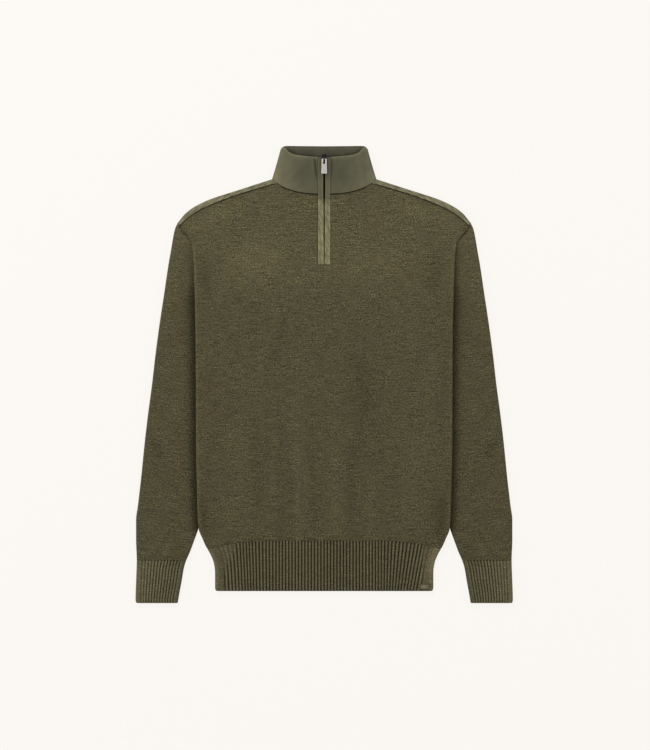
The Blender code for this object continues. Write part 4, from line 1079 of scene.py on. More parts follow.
def make_shoulder_strip(side, finish):
    """The strip over a shoulder: flat from the front seam, half round at the fold, flat to the back seam. Its
    end at the neck is pressed down under the collar."""
    pieces = 90
    along = np.linspace(0, 1, pieces)
    front_span = SHOULDER_TIP_X + STRIP_OVER_TIP + STRIP_TUCK - NECK_CORNER_X
    front_x = NECK_CORNER_X - STRIP_TUCK + front_span * along
    back_x = BACK_NECK_CORNER_X + (SHOULDER_TIP_X - BACK_TIP_INSET - BACK_NECK_CORNER_X) * along
    fold_span = SLEEVE_OUTER[0][1] + STRIP_PAST_SLEEVE + STRIP_TUCK - NECK_SIDE_X
    fold_x = NECK_SIDE_X - STRIP_TUCK + fold_span * along
    front = np.stack([front_x, front_top_line(front_x)], axis=1)
    fold = np.stack([fold_x, through(SHOULDER_FOLD, fold_x)], axis=1)
    back = np.stack([back_x, through(SHOULDER_FOLD, back_x) - STRIP_BACK_WIDTH], axis=1)
    height = front_height(front_x, front[:, 1])
    radius = height / 2
    outward = unit(fold - front)
    depth = STRIP_FOLD_DEPTH * radius[:, None]
    inset = fold - outward * depth
    flat = front[:, None] + (inset - front)[:, None] * np.linspace(0, 1, 7)[None, :, None]
    turn = np.linspace(0, math.pi, 15)[None, 1:]
    roll = inset[:, None] + outward[:, None] * (depth * np.sin(turn))[..., None]
    under = inset[:, None] + (back - inset)[:, None] * np.linspace(0, 1, 7)[None, 1:, None]
    plan = np.concatenate([flat, roll, under], axis=1)
    flat_z = np.repeat(height[:, None], 7, axis=1)
    roll_z = radius[:, None] * (1 + np.cos(turn))
    z = np.concatenate([flat_z, roll_z, np.zeros((pieces, 6))], axis=1)
    z[0] *= STRIP_PRESSED
    grid = np.concatenate([plan, z[..., None]], axis=2)
    run = np.concatenate([[0.0], np.cumsum(np.linalg.norm(np.diff(fold, axis=0), axis=1))])
    place = np.stack([arc_length(grid, False), np.broadcast_to(run[:, None], grid.shape[:2])], axis=-1)
    grid[..., 0] *= side
    name = "shoulder_strip_" + word(side) + "_twill"
    at_end = (np.arange(pieces) % (pieces - 1) == 0)[:, None] & np.ones(grid.shape[1], bool)
    # Painted shade: rims dark along the seams, as in their grooves, the roll darker where it turns down to
    # the back, both ends darker, and the flat part lighter by the front seam.
    rounding, rim_tone = np.where(at_end, 0.1, 0.5), np.where(at_end, 0.8, 0.12)
    at_fold = 1 - 0.3 * smooth((np.sin(turn[0]) - 0.5) / 0.45)
    across = np.concatenate([np.linspace(1.09, 0.97, 7), at_fold, np.ones(6)])
    tone = across[None] * (1 - 0.4 * at_end)
    return cloth(
        name, grid, STRIP_CLOTH, place, finish, turn=-side, tone=tone, rounding=rounding, rim_tone=rim_tone
    )


def make_collar(finish):
    """The stand collar: a flat band folded at its sides, with a crowned front that is open at the zip.

    across runs from one edge of the zip over the front to a side fold, along the back and round to the other
    edge; up runs from the neck seam to the rim.
    """
    up = steps((0.15, 5), (0.85, 22), (1.0, 6))
    reach = NECK_SIDE_X - (NECK_SIDE_X - COLLAR_TOP_X) * up - COLLAR_BOW * up * (1 - up)
    side = SHOULDER_HEIGHT + (COLLAR_SIDE_HEIGHT - SHOULDER_HEIGHT) * up
    radius = side / 2
    first = PLACKET_HALF / reach
    last = 1 - radius / reach

    def plan(across, in_front):
        base, rim = (COLLAR_FRONT_BASE, COLLAR_FRONT_RIM) if in_front else (COLLAR_BACK_BASE, COLLAR_BACK_RIM)
        low = through(base, across * NECK_SIDE_X)
        high = through(rim, across * COLLAR_TOP_X)
        return np.stack([across * reach[:, None], low + (high - low) * up[:, None]], axis=2)

    front = first[:, None] + (last - first)[:, None] * steps((0.12, 8), (1.0, 34))[None]
    front_z = collar_height(front, up[:, None])
    front_z = front_z - (front_z[:, -1:] - side[:, None]) * smooth((front - 0.5) / 0.45)
    turn = np.linspace(0, math.pi, 19)[None, 1:-1]
    fold = last[:, None] + (radius / reach)[:, None] * np.sin(turn)
    fold_z = radius[:, None] * (1 + np.cos(turn))
    fold_plan = np.where((turn <= math.pi / 2)[..., None], plan(fold, True), plan(fold, False))
    back = last[:, None] * np.linspace(1, 0, 34)[None]
    rings = [plan(front, True), fold_plan, plan(back, False)]
    z = np.concatenate([front_z, fold_z, np.zeros_like(back)], axis=1)
    half = np.concatenate([np.concatenate(rings, axis=1), z[..., None]], axis=2)
    seam = SEAM_GAP * (1 - smooth((half[0, :, 0] - NECK_CORNER_X + 4) / 8))
    seam[front.shape[1] + fold.shape[1] :] = RIB_SEAM_GAP
    half[0, :, 1] += seam
    grid = np.concatenate([half, half[:, -2::-1] * MIRROR], axis=1)
    layer = np.concatenate([np.ones(front.shape[1]), 0.5 + 0.5 * np.cos(turn[0]), np.zeros(back.shape[1])])
    layer = np.concatenate([layer, layer[-2::-1]])
    relief = fold_relief(COLLAR_FOLDS, grid[..., 0], grid[..., 1]) * layer
    inset = smooth(np.minimum(up, 1 - up) / 0.2)[:, None]
    behind = fold_relief(COLLAR_BACK_FOLDS, grid[..., 0], grid[..., 1]) * (layer == 0) * inset
    grid[..., 2] = np.maximum(grid[..., 2] + relief + behind, 0.0)
    away = np.clip(np.abs(grid[..., 0]) / reach[:, None], 0, 1)
    from_rim = (1 - up[:, None]) * COLLAR_BAND
    from_seam = up[:, None] * COLLAR_BAND
    # Painted light and shade of the collar: painted highlights towards its sides, stronger towards -X, low by
    # the seam, on its ridges and along the front rim; painted shade at the seam by the side folds, inside the
    # collar, behind the front rim and in its inner corners.
    edge = np.where(grid[..., 0] < 0, 0.42, 0.26) * smooth((away - 0.8) / 0.18)
    outside = 0.81 + 0.17 * smooth((away - 0.25) / 0.55) + edge + 0.19 * bell(from_seam - 4, 14)
    outside = outside - 0.45 * bell(from_seam, 1.2) * smooth((away - 0.84) / 0.08) + 0.17 * relief
    outside = outside + 0.3 * bell(from_rim - 0.8, 1.7) + 0.14 * bell(from_rim - 1.5, 4.0)
    past_rim = grid[..., 1] - through(COLLAR_FRONT_RIM, away * COLLAR_TOP_X)
    within = 0.69 + 0.18 * bell(from_rim - 3.5, 2.5) + 0.24 * behind
    within = within - 0.26 * bell(past_rim, 4.5) - 0.22 * bell(past_rim, 1.6)
    within = within - 0.42 * bell((1 - away) * COLLAR_TOP_X, 7.5)
    tone = within + (outside - within) * layer
    run = arc_length(grid, False)
    place = np.stack([run, np.broadcast_to(up[:, None] * COLLAR_BAND, run.shape)], axis=-1)
    # Rims painted darker at the neck seam and at the zip, as shade in their grooves, and a little darker on
    # the inner layer's rim.
    at_rim = up[:, None] > 0.5
    rim_tone = np.where(at_rim, 0.7 + 0.3 * layer, 0.45)
    rounding = np.where(at_rim, 1.1, 0.2 + 0.4 * (away < 0.85))
    at_zip = layer * (np.abs(grid[..., 0]) < PLACKET_HALF + 0.5)
    rounding = np.where(at_zip > 0.5, 0.45, rounding)
    rim_tone = np.where(at_zip > 0.5, 0.5, rim_tone)
    return cloth(
        "stand_collar", grid, COLLAR_CLOTH, place, finish, tone=tone, rounding=rounding, rim_tone=rim_tone
    )


# ---------------------------------------------------------------- zip


def gap_half(y):
    """Half the gap between the strips beside the zip: narrower below the neck seam, narrower again below
    ZIP_GAP_NARROWS_AT, and shut at its foot."""
    narrow = ZIP_GAP_HALF - (ZIP_GAP_HALF - ZIP_GAP_HALF_LOW) * smooth((NECK_SEAM_Y - y) / 18)
    narrow = narrow - ZIP_GAP_NARROWS * smooth((ZIP_GAP_NARROWS_AT - y) / 46)
    return narrow - (narrow - ZIP_GAP_HALF_FOOT) * smooth((PLACKET_END + 8 - y) / 4)


def twill_marks(x, y):
    """Bold slanting marks of the twill on the two sides of the join between a placket and a collar welt."""
    return 0.5 * np.sin(2 * math.pi * (y - x) / TWILL_MARK) * bell(y - WELT_JOIN_Y - 1, 4.5)


def placket_light(x, y):
    """Tone of a placket: darker by the collar, where it comes out from under the folded end."""
    return 1.03 - 0.32 * bell(WELT_JOIN_Y - y, 7.5) + twill_marks(x, y)


def welt_painted_light_and_twill(x, y):
    """Painted light and shade of a collar welt, with the twill's marks: painted lighter low on the collar,
    and a painted shadow of the pull tab beside it.
    """
    painted_tab_shadow = bell(np.abs(x) - TAB_WIDTH / 2 - 0.7, 0.9) * smooth((y - HINGE_Y + TAB_LENGTH + 1) / 3)
    painted_tab_shadow = painted_tab_shadow * smooth((HINGE_Y - y) / 3)
    light = 0.98 + 0.15 * bell(y - 317, 10) - 0.08 * smooth((y - 328) / 8) - 0.34 * painted_tab_shadow
    return light + twill_marks(x, y)


def make_welt(name, side, start, end, light, finish):
    """A facing strip beside the zip, between two heights on the garment, a little raised at its folded edge
    and a little lower at its seam."""
    y = np.linspace(start, end, 110)[:, None]
    share = steps((0.15, 3), (0.85, 14), (1.0, 3))[None]
    x = gap_half(y) + (PLACKET_HALF - gap_half(y)) * share
    along = y + 0 * x
    z = centre_height(along) + WELT_STEP + 0.25 * bell(share - 0.1, 0.16) - 0.3 * smooth((share - 0.8) / 0.2)
    grid = np.stack([side * x, along, z], axis=2)
    place = np.stack([side * x, along], axis=-1)
    # Painted highlights along the welt's folded edge and, fainter, along its seam edge, times the light
    # passed in.
    tone = (1 + 0.22 * bell(share - 0.1, 0.14) + 0.1 * bell(share - 0.85, 0.12)) * light(side * x, along)
    return cloth(name, grid, WELT_CLOTH, place, finish, turn=side, tone=tone, rounding=0.5, rim_tone=0.7)


def make_tape(finish):
    """The zip's tape, under the strips."""
    y = np.linspace(PLACKET_END, ZIP_TOP, 90)[:, None]
    x = np.linspace(-TAPE_HALF, TAPE_HALF, 15)[None] + 0 * y
    z = centre_height(y) + WELT_STEP - WELT_CLOTH - SEAM_GAP + 0 * x
    grid = np.stack([x, y + 0 * x, z], axis=2)
    return cloth("zip_tape_cloth", grid, TAPE_CLOTH, grid[..., :2], finish, turn=1, rounding=0.3)


def make_teeth(finish):
    """Two rows of coil teeth that mesh on the centre line, each a rounded bar across the zip."""
    rows = int((ZIP_TOP - TEETH_FROM_TOP - PLACKET_END) / TOOTH_PITCH)
    y = PLACKET_END + TEETH_FROM_FOOT + TOOTH_PITCH * np.arange(rows)
    points, sides, ends = [], [], []
    for side, shift in ((-1, 0.0), (1, TOOTH_PITCH / 2)):
        at = y + shift
        level = centre_height(at) + TOOTH_LIFT - TOOTH_HALF[1]
        start = np.stack([np.full(rows, side * TOOTH_REACH), at, level], axis=1)
        end = np.stack([np.full(rows, -side * TOOTH_LAP), at, level], axis=1)
        made, faces = capsules(start, end, np.array([[0.0, 0.0, 1.0]]), *TOOTH_HALF)
        shifted = sum(len(group) for group in points)
        points.append(made)
        sides.append(faces[0] + shifted)
        ends.append(faces[1] + shifted)
    groups = [np.concatenate(sides), np.concatenate(ends)]
    return write_mesh("zip_teeth", np.concatenate(points), groups, finish)


def slider_level():
    """Top of the slider's plate, which rides on the strips at the top of the zip."""
    return float(centre_height(np.array(ZIP_TOP - 0.5))) + WELT_STEP + SEAM_GAP + SLIDER_THICK


def make_slider(finish):
    """The slider's plate, an outline that narrows to its foot with bevelled edges and a low dome, and the
    bridge, a bar of rounded section carried along an arch over the pull tab's axis."""
    level = slider_level()
    middle = (SLIDER_TOP + SLIDER_FOOT) / 2
    outline = rounded_box(SLIDER_WIDTH / 2, (SLIDER_TOP - SLIDER_FOOT) / 2, SLIDER_CORNER, 7)
    outline[:, 0] *= 1 - SLIDER_TAPER * smooth((1.0 - outline[:, 1]) / 6)
    rings = []
    for inset, rise in SLIDER_BEVEL:
        ring = drawn_in(outline, inset)
        z = np.full(len(ring), level - SLIDER_THICK + rise)
        rings.append(np.column_stack([ring[:, 0], middle + ring[:, 1], z]))
    plate_points, plate_faces = stacked(np.array(rings))
    turn = np.linspace(0, math.pi, 21)
    reach = BRIDGE_REACH + BRIDGE_BAR / 2
    rise = BRIDGE_WINDOW + BRIDGE_BAR / 2
    run = reach * np.sign(np.cos(turn)) * np.abs(np.cos(turn)) ** BRIDGE_SQUARENESS
    lift = rise * np.sin(turn) ** BRIDGE_SQUARENESS
    path = np.stack([np.zeros_like(run), HINGE_Y + run, level + lift], axis=1)
    root = [[0, 0, BRIDGE_ROOT]]
    path = np.concatenate([path[:1] - root, path, path[-1:] - root])
    ahead = unit(np.gradient(path, axis=0))
    sideways = np.array([[1.0, 0.0, 0.0]]) * np.ones((len(path), 1))
    over = np.cross(ahead, sideways)
    section = rounded_box(BRIDGE_WIDTH / 2, BRIDGE_BAR / 2, BRIDGE_CORNER, 3)
    rings = path[:, None] + sideways[:, None] * section[None, :, :1] - over[:, None] * section[None, :, 1:]
    bridge_points, bridge_faces = stacked(rings)
    shift = len(plate_points)
    points = np.concatenate([plate_points, bridge_points])
    groups = plate_faces + [group + shift for group in bridge_faces]
    return write_mesh("slider_body", points, groups, finish, sharp=50.0, tone=np.ones(len(points)))


def facing_ring(outline, centre, angles):
    """Points of a closed convex outline seen from a centre at some angles."""
    rel = outline - centre
    bearing = np.unwrap(np.arctan2(rel[:, 1], rel[:, 0]))
    order = np.argsort(bearing)
    bearing, rel = bearing[order], rel[order]
    turns = np.concatenate([bearing - 2 * math.pi, bearing, bearing + 2 * math.pi])
    around = np.tile(rel, (3, 1))
    return centre + np.stack([np.interp(angles, turns, around[:, i]) for i in (0, 1)], axis=1)


def make_pull_tab(finish):
    """The pull tab: a plate with bevelled edges, a sunk panel inside a raised border, and a round ended slot.

    Each ray from the slot's centre crosses the slot's edge and the plate's edge. A closed section of rings
    between the two, with its own heights, turns round all the rays.
    """
    foot = -(TAB_LENGTH - TAB_BAR)
    centre = np.array([0.0, -(TAB_SLOT_END + TAB_BAR) / 2])
    outer = rounded_box(TAB_WIDTH / 2, TAB_LENGTH / 2, TAB_CORNER, 8) + [0.0, (TAB_BAR + foot) / 2]
    outer[:, 0] *= 1 - TAB_TAPER * smooth((outer[:, 1] + 3.4) / 3.8)
    slot = rounded_box(TAB_SLOT_HALF, (TAB_SLOT_END - TAB_BAR) / 2, TAB_SLOT_HALF - 0.2, 10) + centre
    corners = np.concatenate([outer, slot]) - centre
    angles = np.arctan2(corners[:, 1], corners[:, 0])
    evenly = np.linspace(-math.pi, math.pi, 120, endpoint=False)
    angles = np.unique(np.round(np.concatenate([angles, evenly]), 3))
    top = TAB_THICK / 2
    rings = []
    tone = []
    # Each ring's light is painted shade and highlight: dark on the plate's sides, in the groove round the
    # sunk panel and at the slot's edge, lighter on the raised border.
    for edge, inset, z, light in (
        ("outer", 0.0, -top + 0.3, 0.4),
        ("outer", 0.0, top - 0.3, 0.4),
        ("outer", 0.09, top - 0.09, 0.7),
        ("outer", 0.3, top, 1.06),
        ("outer", 0.95, top, 1.06),
        ("outer", 1.1, top - 0.42, 0.66),
        ("outer", 1.5, top - 0.42, 0.66),
        ("outer", 1.75, top - 0.2, 0.97),
        ("slot", -0.75, top - 0.2, 0.97),
        ("slot", -0.6, top, 1.0),
        ("slot", -0.25, top, 1.0),
        ("slot", -0.07, top - 0.08, 0.7),
        ("slot", 0.0, top - 0.25, 0.35),
        ("slot", 0.0, -top + 0.25, 0.35),
        ("slot", -0.07, -top + 0.08, 0.7),
        ("slot", -0.25, -top, 1.0),
        ("outer", 0.3, -top, 1.0),
        ("outer", 0.09, -top + 0.09, 0.7),
    ):
        tone.append(light)
        outline = drawn_in(outer, inset) if edge == "outer" else drawn_in(slot, inset)
        ring = facing_ring(outline, centre, angles)
        rings.append(np.column_stack([ring, np.full(len(ring), z)]))
    rings = np.array(rings)
    levels, spokes = rings.shape[:2]
    number = np.arange(levels * spokes).reshape(levels, spokes)
    faces = ring_faces(np.concatenate([number, number[:1]]))
    tilt = math.radians(TAB_TILT)
    y, z = rings[..., 1], rings[..., 2]
    turned_y = y * math.cos(tilt) - z * math.sin(tilt)
    turned_z = y * math.sin(tilt) + z * math.cos(tilt)
    turned = np.stack([rings[..., 0], turned_y, turned_z], axis=-1)
    turned = turned + [0.0, HINGE_Y, slider_level() + HINGE_RISE]
    tone = np.repeat(tone, spokes)
    return write_mesh("pull_tab_plate", turned.reshape(-1, 3), [faces], finish, sharp=35.0, tone=tone)


# ---------------------------------------------------------------- label and stitches


def label_level(x):
    """Top of the hem label, which is sewn down at both ends."""
    sewn = smooth((np.abs(x - LABEL_AT[0]) - LABEL_SIZE[0] / 2 + 2.4) / 1.6)
    return LABEL_AT[2] + LABEL_SIZE[2] / 2 - 0.3 * sewn


def make_label(finish):
    """The blank hem label: a small rectangle of woven tape, paler in its middle."""
    x = LABEL_AT[0] + LABEL_SIZE[0] * (steps((0.08, 3), (0.92, 24), (1.0, 3)) - 0.5)[None]
    y = LABEL_AT[1] + LABEL_SIZE[1] * (steps((0.1, 3), (0.9, 12), (1.0, 3)) - 0.5)[:, None]
    grid = np.stack(np.broadcast_arrays(x, y, label_level(x)), axis=2)
    from_end = LABEL_SIZE[0] / 2 - np.abs(x - LABEL_AT[0])
    from_top = LABEL_AT[1] + LABEL_SIZE[1] / 2 - y
    middle = bell(x - LABEL_AT[0] + 1.5, 3.6) * bell(y - LABEL_AT[1] + 0.8, 2.6)
    tone = 0.74 + 0.5 * middle - 0.36 * bell(from_top, 1.3) - 0.22 * bell(from_end, 1.2)
    thickness = LABEL_SIZE[2] - 0.1
    return cloth(
        "hem_label_tab", grid, thickness, grid[..., :2], finish, tone=tone, rounding=0.25, rim_tone=0.4
    )


def stitch_row(start, end):
    """Starts and ends of the stitches of one straight seam in plan."""
    start, end = np.array(start, float), np.array(end, float)
    length = np.linalg.norm(end - start)
    count = max(1, int((length + STITCH_GAP) / (STITCH + STITCH_GAP)))
    first = (np.arange(count) + 0.5) / count * length - STITCH / 2
    ahead = (end - start) / length
    return start + first[:, None] * ahead, start + (first + STITCH)[:, None] * ahead


def make_stitches(name, seams, level, finish):
    """Stitches along seams, each a rounded bar of thread that lies on the cloth at level(x, y)."""
    starts, ends = (np.concatenate(part) for part in zip(*[stitch_row(*seam) for seam in seams]))
    starts = np.column_stack([starts, level(starts[:, 0], starts[:, 1])])
    ends = np.column_stack([ends, level(ends[:, 0], ends[:, 1])])
    points, groups = capsules(starts, ends, np.array([[0.0, 0.0, 1.0]]), *THREAD_HALF)
    return write_mesh(name, points, groups, finish)


# ---------------------------------------------------------------- finishes


class Finish:
    """A Principled material, with short calls for the nodes that its pattern is made of."""

    def __init__(self, name, values):
        self.material = bpy.data.materials.new(name)
        self.material.use_nodes = True
        self.tree = self.material.node_tree
        self.shader = self.tree.nodes["Principled BSDF"]
        for socket, value in values.items():
            self.shader.inputs[socket].default_value = value

    def node(self, kind, inputs, output=0, **settings):
        """A new node's output, with a value or another output on each of its inputs."""
        made = self.tree.nodes.new("ShaderNode" + kind)
        for name, value in settings.items():
            setattr(made, name, value)
        for place, value in inputs.items():
            if isinstance(value, bpy.types.NodeSocket):
                self.tree.links.new(value, made.inputs[place])
            else:
                made.inputs[place].default_value = value
        return made.outputs[output]

    def math(self, operation, *values):
        return self.node("Math", dict(enumerate(values)), operation=operation)

    def wave(self, value):
        """0 at whole numbers and 1 half way between them."""
        turned = self.math("COSINE", self.math("MULTIPLY", value, 2 * math.pi))
        return self.math("MULTIPLY_ADD", turned, -0.5, 0.5)

    def total(self, *terms):
        """Sum of values, each times its weight."""
        summed = None
        for value, weight in terms:
            part = value if weight == 1 else self.math("MULTIPLY", value, weight)
            summed = part if summed is None else self.math("ADD", summed, part)
        return summed

    def cloth_place(self):
        """Millimetres across and along the cloth."""
        return self.node("UVMap", {}, uv_map="cloth")

    def object_place(self):
        """Place in the garment's frame, in millimetres."""
        return self.scaled(self.node("TexCoord", {}, 3), 1 / MM, 1 / MM, 1 / MM)

    def scaled(self, place, x, y, z=1.0):
        return self.node("VectorMath", {0: place, 1: (x, y, z)}, operation="MULTIPLY")

    def parts(self, place):
        made = self.tree.nodes.new("ShaderNodeSeparateXYZ")
        self.tree.links.new(place, made.inputs[0])
        return made.outputs[0], made.outputs[1], made.outputs[2]

    def noise(self, place, across, along, detail=2.0, rough=0.5, deep=1.0):
        """Noise with spots of a size across and along, from about 0.25 to 0.75."""
        at = self.scaled(place, 1 / across, 1 / along, 1 / deep)
        return self.node("TexNoise", {"Vector": at, "Scale": 1.0, "Detail": detail, "Roughness": rough})

    def spread(self, value, low, high, out_low=0.0, out_high=1.0):
        inputs = {"Value": value, "From Min": low, "From Max": high, "To Min": out_low, "To Max": out_high}
        return self.node("MapRange", inputs)

    def mixed(self, share, first, second):
        colours = {0: share, 6: (*first, 1.0), 7: (*second, 1.0)}
        return self.node("Mix", colours, output=2, data_type="RGBA")

    def times(self, colour, value):
        return self.node("VectorMath", {0: colour, 3: value}, operation="SCALE")

    def tone(self):
        return self.node("Attribute", {}, output=2, attribute_name="tone")

    def toned(self, colour):
        """A colour times the piece's own tone."""
        return self.times(colour, self.tone())

    def done(self, colour, height, depth, roughness):
        """Links the colour, a bump of that depth in millimetres, and the roughness."""
        bump = self.node("Bump", {"Height": height, "Distance": depth * MM, "Strength": 1.0})
        self.tree.links.new(colour, self.shader.inputs["Base Color"])
        self.tree.links.new(bump, self.shader.inputs["Normal"])
        self.tree.links.new(roughness, self.shader.inputs["Roughness"])
        return self.material


CLOTH_SHEEN = {"Sheen Weight": 0.14, "Sheen Roughness": 0.4, "Sheen Tint": (0.55, 0.5, 0.3, 1.0),
               "Specular IOR Level": 0.12}


# Streaks of the melange yarn: size across and along the knit, and weight.
YARN_STREAKS = (
    (34.0, 1.9, 0.3),
    (13.0, 1.7, 0.32),
    (5.5, 1.5, 0.3),
    (1.4, 2.7, 0.66),
    (16.0, 9.0, 0.07),
)


def knit_finish(name, colours, wale, course):
    """Fine knit of a melange yarn.

    A stitch is a V: its two legs lean along the wale, so its height is a wave in (along / course + the
    distance from the stitch's middle), times a wave across the leg. The yarn's colour changes in streaks
    along a course, long and short, over grains of a stitch. They stand out more in some places than in
    others, and a slow change of hue lies over them.
    """
    made = Finish(name, CLOTH_SHEEN)
    place = made.cloth_place()
    across, along, _ = made.parts(place)
    middle = made.math("SUBTRACT", made.math("FRACT", made.math("DIVIDE", across, wale)), 0.5)
    leg = made.math("MULTIPLY", made.math("ABSOLUTE", middle), 2.0)
    lean = made.total((made.math("DIVIDE", along, course), 1), (leg, 1))
    stitch = made.math("MULTIPLY", made.wave(lean), made.math("SINE", made.math("MULTIPLY", leg, math.pi)))
    fine = made.noise(place, 2.7, 1.3, 1.0, 0.6)
    yarn = made.math("MULTIPLY", made.math("SUBTRACT", fine, 0.5), 0.84)
    for across_size, along_size, weight in YARN_STREAKS:
        streak = made.noise(place, across_size, along_size, 1.0, 0.5)
        yarn = made.total((yarn, 1), (made.math("SUBTRACT", streak, 0.5), weight))
    worn = made.noise(place, 60.0, 42.0, 1.0, 0.5)
    yarn = made.math("MULTIPLY", yarn, made.spread(worn, 0.32, 0.68, 0.8, 1.2))
    share = made.math("POWER", made.spread(yarn, -0.32, 0.31), 1.6)
    colour = made.toned(made.mixed(share, *colours))
    drift = made.spread(made.noise(place, 15.0, 70.0, 1.0, 0.5), 0.35, 0.65)
    hue = made.mixed(drift, *HUE_DRIFT)
    colour = made.node("VectorMath", {0: colour, 1: hue}, operation="MULTIPLY")
    # Painted shade: the colour is darker in the hollows between stitches and lighter on their legs.
    colour = made.times(colour, made.spread(stitch, 0.0, 1.0, 0.84, 1.08))
    height = made.total((stitch, 1), (fine, 0.8))
    return made.done(colour, height, 0.28, made.spread(fine, 0.3, 0.7, 0.86, 0.98))


def woven_finish(name, colours, sheen=CLOTH_SHEEN):
    """Smooth close weave: small squares over and under, with a soft cloudy shade."""
    made = Finish(name, sheen)
    place = made.cloth_place()
    across, along, _ = made.parts(place)
    weft = made.wave(made.math("DIVIDE", across, WEAVE))
    warp = made.wave(made.math("DIVIDE", along, WEAVE))
    weave = made.total((weft, 0.5), (warp, 0.5))
    cloud = made.noise(place, 16.0, 22.0, 3.0, 0.55)
    fleck = made.noise(place, 1.6, 1.3, 3.0, 0.6)
    colour = made.mixed(made.spread(made.total((cloud, 0.7), (fleck, 0.45)), 0.35, 0.8), *colours)
    tone = made.tone()
    shades = {place: made.math("POWER", tone, power) for place, power in enumerate(WOVEN_SHADE)}
    colour = made.node("VectorMath", {0: colour, 1: made.node("CombineXYZ", shades)}, operation="MULTIPLY")
    height = made.total((weave, 1), (fleck, 1.1))
    return made.done(colour, height, 0.07, made.spread(fleck, 0.3, 0.7, 0.72, 0.86))


def twill_finish(name, colours):
    """Twill: fine slanting ridges, a wave in (across + 0.8 along) / pitch, and streaks that lean less."""
    made = Finish(name, CLOTH_SHEEN)
    place = made.cloth_place()
    across, along, _ = made.parts(place)
    ridge = made.wave(made.math("DIVIDE", made.total((across, 1), (along, 0.8)), TWILL))
    leaning = made.node("CombineXYZ", {0: made.total((across, 1), (along, 0.3)), 1: along})
    streak = made.noise(leaning, 1.9, 15.0, 1.0, 0.5)
    fleck = made.noise(place, 1.4, 1.4, 3.0, 0.6)
    cloud = made.noise(place, 12.0, 18.0, 2.0, 0.5)
    share = made.total((ridge, 0.25), (fleck, 0.35), (streak, 1.15), (cloud, 0.2))
    colour = made.toned(made.mixed(made.spread(share, 0.72, 1.24), *colours))
    height = made.total((ridge, 1), (fleck, 0.5))
    return made.done(colour, height, 0.16, made.spread(fleck, 0.3, 0.7, 0.66, 0.82))


def thread_finish(name, colours, size, roughness, specular):
    """Yarn, coil or label: fine grain in the garment's own frame."""
    made = Finish(name, {"Specular IOR Level": specular})
    place = made.object_place()
    grain = made.noise(place, size, size, 3.0, 0.6, size)
    colour = made.mixed(made.spread(grain, 0.35, 0.65), *colours)
    return made.done(colour, grain, 0.12, made.spread(grain, 0.3, 0.7, roughness - 0.08, roughness + 0.08))


def metal_finish(name, colours, roughness):
    """Brushed metal: long fine scratches along the garment, with faint wear."""
    made = Finish(name, {"Metallic": 1.0})
    place = made.object_place()
    scratch = made.noise(place, 0.16, 5.0, 3.0, 0.7, 0.16)
    wear = made.noise(place, 3.0, 3.0, 3.0, 0.6, 3.0)
    share = made.total((scratch, 0.6), (wear, 0.4))
    colour = made.toned(made.mixed(made.spread(share, 0.35, 0.65), *colours))
    rough = made.spread(share, 0.35, 0.65, roughness + 0.08, roughness - 0.06)
    return made.done(colour, scratch, 0.02, rough)


def label_finish(name, colours):
    """Woven label: fine ribs across it, over a slow change of shade."""
    made = Finish(name, {"Specular IOR Level": 0.3})
    place = made.cloth_place()
    _, along, _ = made.parts(place)
    rib = made.wave(made.math("DIVIDE", along, 0.55))
    grain = made.noise(place, 1.2, 0.8, 3.0, 0.6)
    share = made.total((rib, 0.4), (grain, 0.8))
    colour = made.toned(made.mixed(made.spread(share, 0.3, 0.9), *colours))
    return made.done(colour, rib, 0.1, made.spread(grain, 0.3, 0.7, 0.6, 0.75))


def floor_finish():
    """Pale matt paper with a barely visible grain."""
    glow = {"Emission Color": (*FLOOR_GLOW, 1.0), "Emission Strength": 1.0}
    made = Finish("floor_paper", {"Specular IOR Level": 0.1, **glow})
    place = made.object_place()
    grain = made.noise(place, 2.0, 2.0, 2.0, 0.5, 2.0)
    paler = tuple(min(1.0, value * 1.006) for value in FLOOR_COLOUR)
    return made.done(made.mixed(grain, FLOOR_COLOUR, paler), grain, 0.01, made.spread(grain, 0, 1, 0.9, 0.95))


# ---------------------------------------------------------------- picture


def area_light(name, place, size, power):
    """A square soft light that faces the garment."""
    lamp = bpy.data.lights.new(name, "AREA")
    lamp.shape = "SQUARE"
    lamp.size = size * MM
    lamp.energy = power
    made = in_scene(name, lamp)
    made.location = [value * MM for value in place]
    aim = -np.array(place, float)
    tilt = math.atan2(math.hypot(aim[0], aim[1]), -aim[2])
    made.rotation_euler = (tilt, 0, math.atan2(aim[1], aim[0]) - math.pi / 2)
    made.visible_camera = False


def make_picture():
    """The pale floor, the soft light and the camera, which looks straight down on the garment."""
    corner = np.array([(-1, -1), (1, -1), (1, 1), (-1, 1)], float) * FLOOR_HALF
    points = np.column_stack([corner, np.full(4, -FLOOR_DROP)])
    floor = write_mesh("floor", points, [np.array([[0, 1, 2, 3]])], floor_finish())
    for name, (place, size, power) in LIGHTS.items():
        area_light(name, place, size, power)
    world = bpy.data.worlds.new("studio")
    bpy.context.scene.world = world
    world.use_nodes = True
    sky = world.node_tree.nodes["Background"]
    sky.inputs["Color"].default_value = (*SKY_COLOUR, 1.0)
    sky.inputs["Strength"].default_value = WORLD_STRENGTH
    camera = bpy.data.cameras.new("camera")
    camera.lens = LENS
    camera.sensor_width = SENSOR
    camera.clip_end = 100.0
    made = in_scene("camera", camera)
    made.location = (CAMERA_AIM[0] * MM, CAMERA_AIM[1] * MM, CAMERA_HEIGHT * MM)
    bpy.context.scene.camera = made
    bpy.context.scene.view_settings.view_transform = "Standard"


# ---------------------------------------------------------------- the garment


def dress(piece, node, body="garment"):
    """Rides a piece on its body in its solid's place, and hides that solid where there is one."""
    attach(piece, body)
    if node:
        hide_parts(node)
    return piece


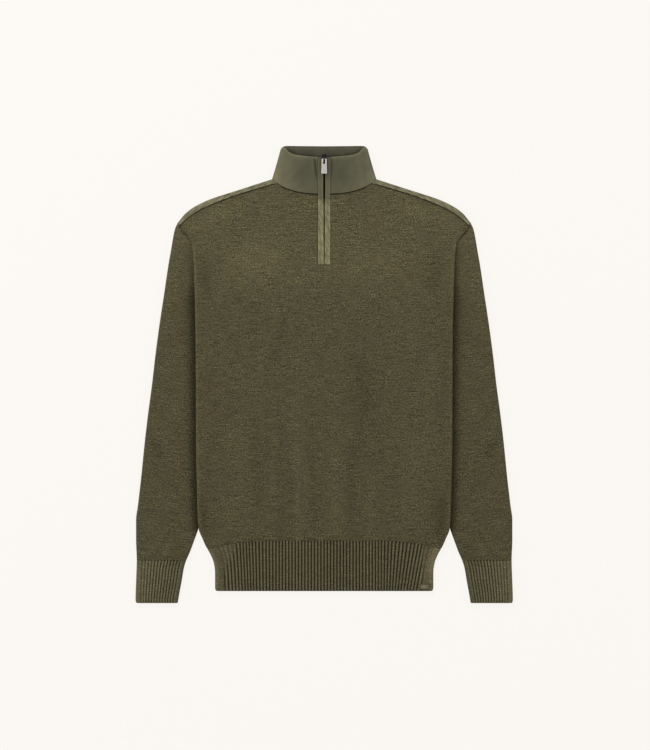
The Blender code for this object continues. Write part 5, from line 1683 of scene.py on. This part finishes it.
def main():
    """The finishes first, then every piece in the place of its solid, and the picture last."""
    knit = knit_finish("knit", KNIT_COLOURS, WALE, COURSE)
    rib = knit_finish("rib", RIB_COLOURS, HEM_RIB / 3, COURSE)
    woven = woven_finish("woven", WOVEN_COLOURS)
    twill = twill_finish("twill", TWILL_COLOURS)
    welt = twill_finish("welt", WELT_COLOURS)
    tape = woven_finish("zip_tape", TAPE_COLOURS, {"Specular IOR Level": 0.05})
    coil = thread_finish("coil", TAPE_COLOURS, 0.5, 0.7, 0.07)
    thread = thread_finish("thread", THREAD_COLOURS, 0.3, 0.8, 0.3)
    metal = metal_finish("metal", METAL_COLOURS, 0.3)
    gunmetal = metal_finish("gunmetal", GUNMETAL_COLOURS, 0.32)
    tag = label_finish("label", LABEL_COLOURS)

    foot_y = PLACKET_END - FOOT_SEAM_DROP
    foot_seams = [((-FOOT_SEAM_HALF, foot_y), (FOOT_SEAM_HALF, foot_y))]
    placket_stitches = make_stitches(
        "placket_foot_stitches", foot_seams, lambda x, y: front_height(x, y) + FOOT_SEAM_LIFT, thread
    )
    label_x, label_y = LABEL_AT[:2]
    ends = [label_x + way * (LABEL_SIZE[0] / 2 - LABEL_SEAM_INSET) for way in (-1, 1)]
    label_seams = [((x, label_y - LABEL_SEAM_HALF), (x, label_y + LABEL_SEAM_HALF)) for x in ends]
    label_stitches = make_stitches(
        "label_stitches", label_seams, lambda x, y: label_level(x) + LABEL_SEAM_LIFT, thread
    )
    dress(placket_stitches, None)
    dress(label_stitches, None)

    dress(make_front(knit), "front")
    dress(make_back(knit), "back")
    label = dress(make_label(tag), "hem_label")
    dress(make_hem(rib), "hem")
    dress(make_collar(woven), "collar")
    for side in (-1, 1):
        dress(make_sleeve(side, knit), "sleeve_" + word(side))
        dress(make_cuff(side, rib), "cuff_" + word(side))
        strip = make_shoulder_strip(side, twill)
        dress(strip, "shoulder_strip_" + word(side))
        name = "placket_" + word(side)
        top = WELT_JOIN_Y - RIB_SEAM_GAP
        placket = make_welt(name + "_twill", side, PLACKET_END, top, placket_light, welt)
        dress(placket, name)
        name = "collar_welt_" + word(side)
        facing = make_welt(name + "_cloth", side, WELT_JOIN_Y, ZIP_TOP, welt_painted_light_and_twill, woven)
        dress(facing, name)
    teeth = dress(make_teeth(coil), None)
    dress(make_tape(tape), "zip")
    dress(make_slider(gunmetal), "slider")
    dress(make_pull_tab(metal), "pull_tab", body="pull")
    make_picture()


main()
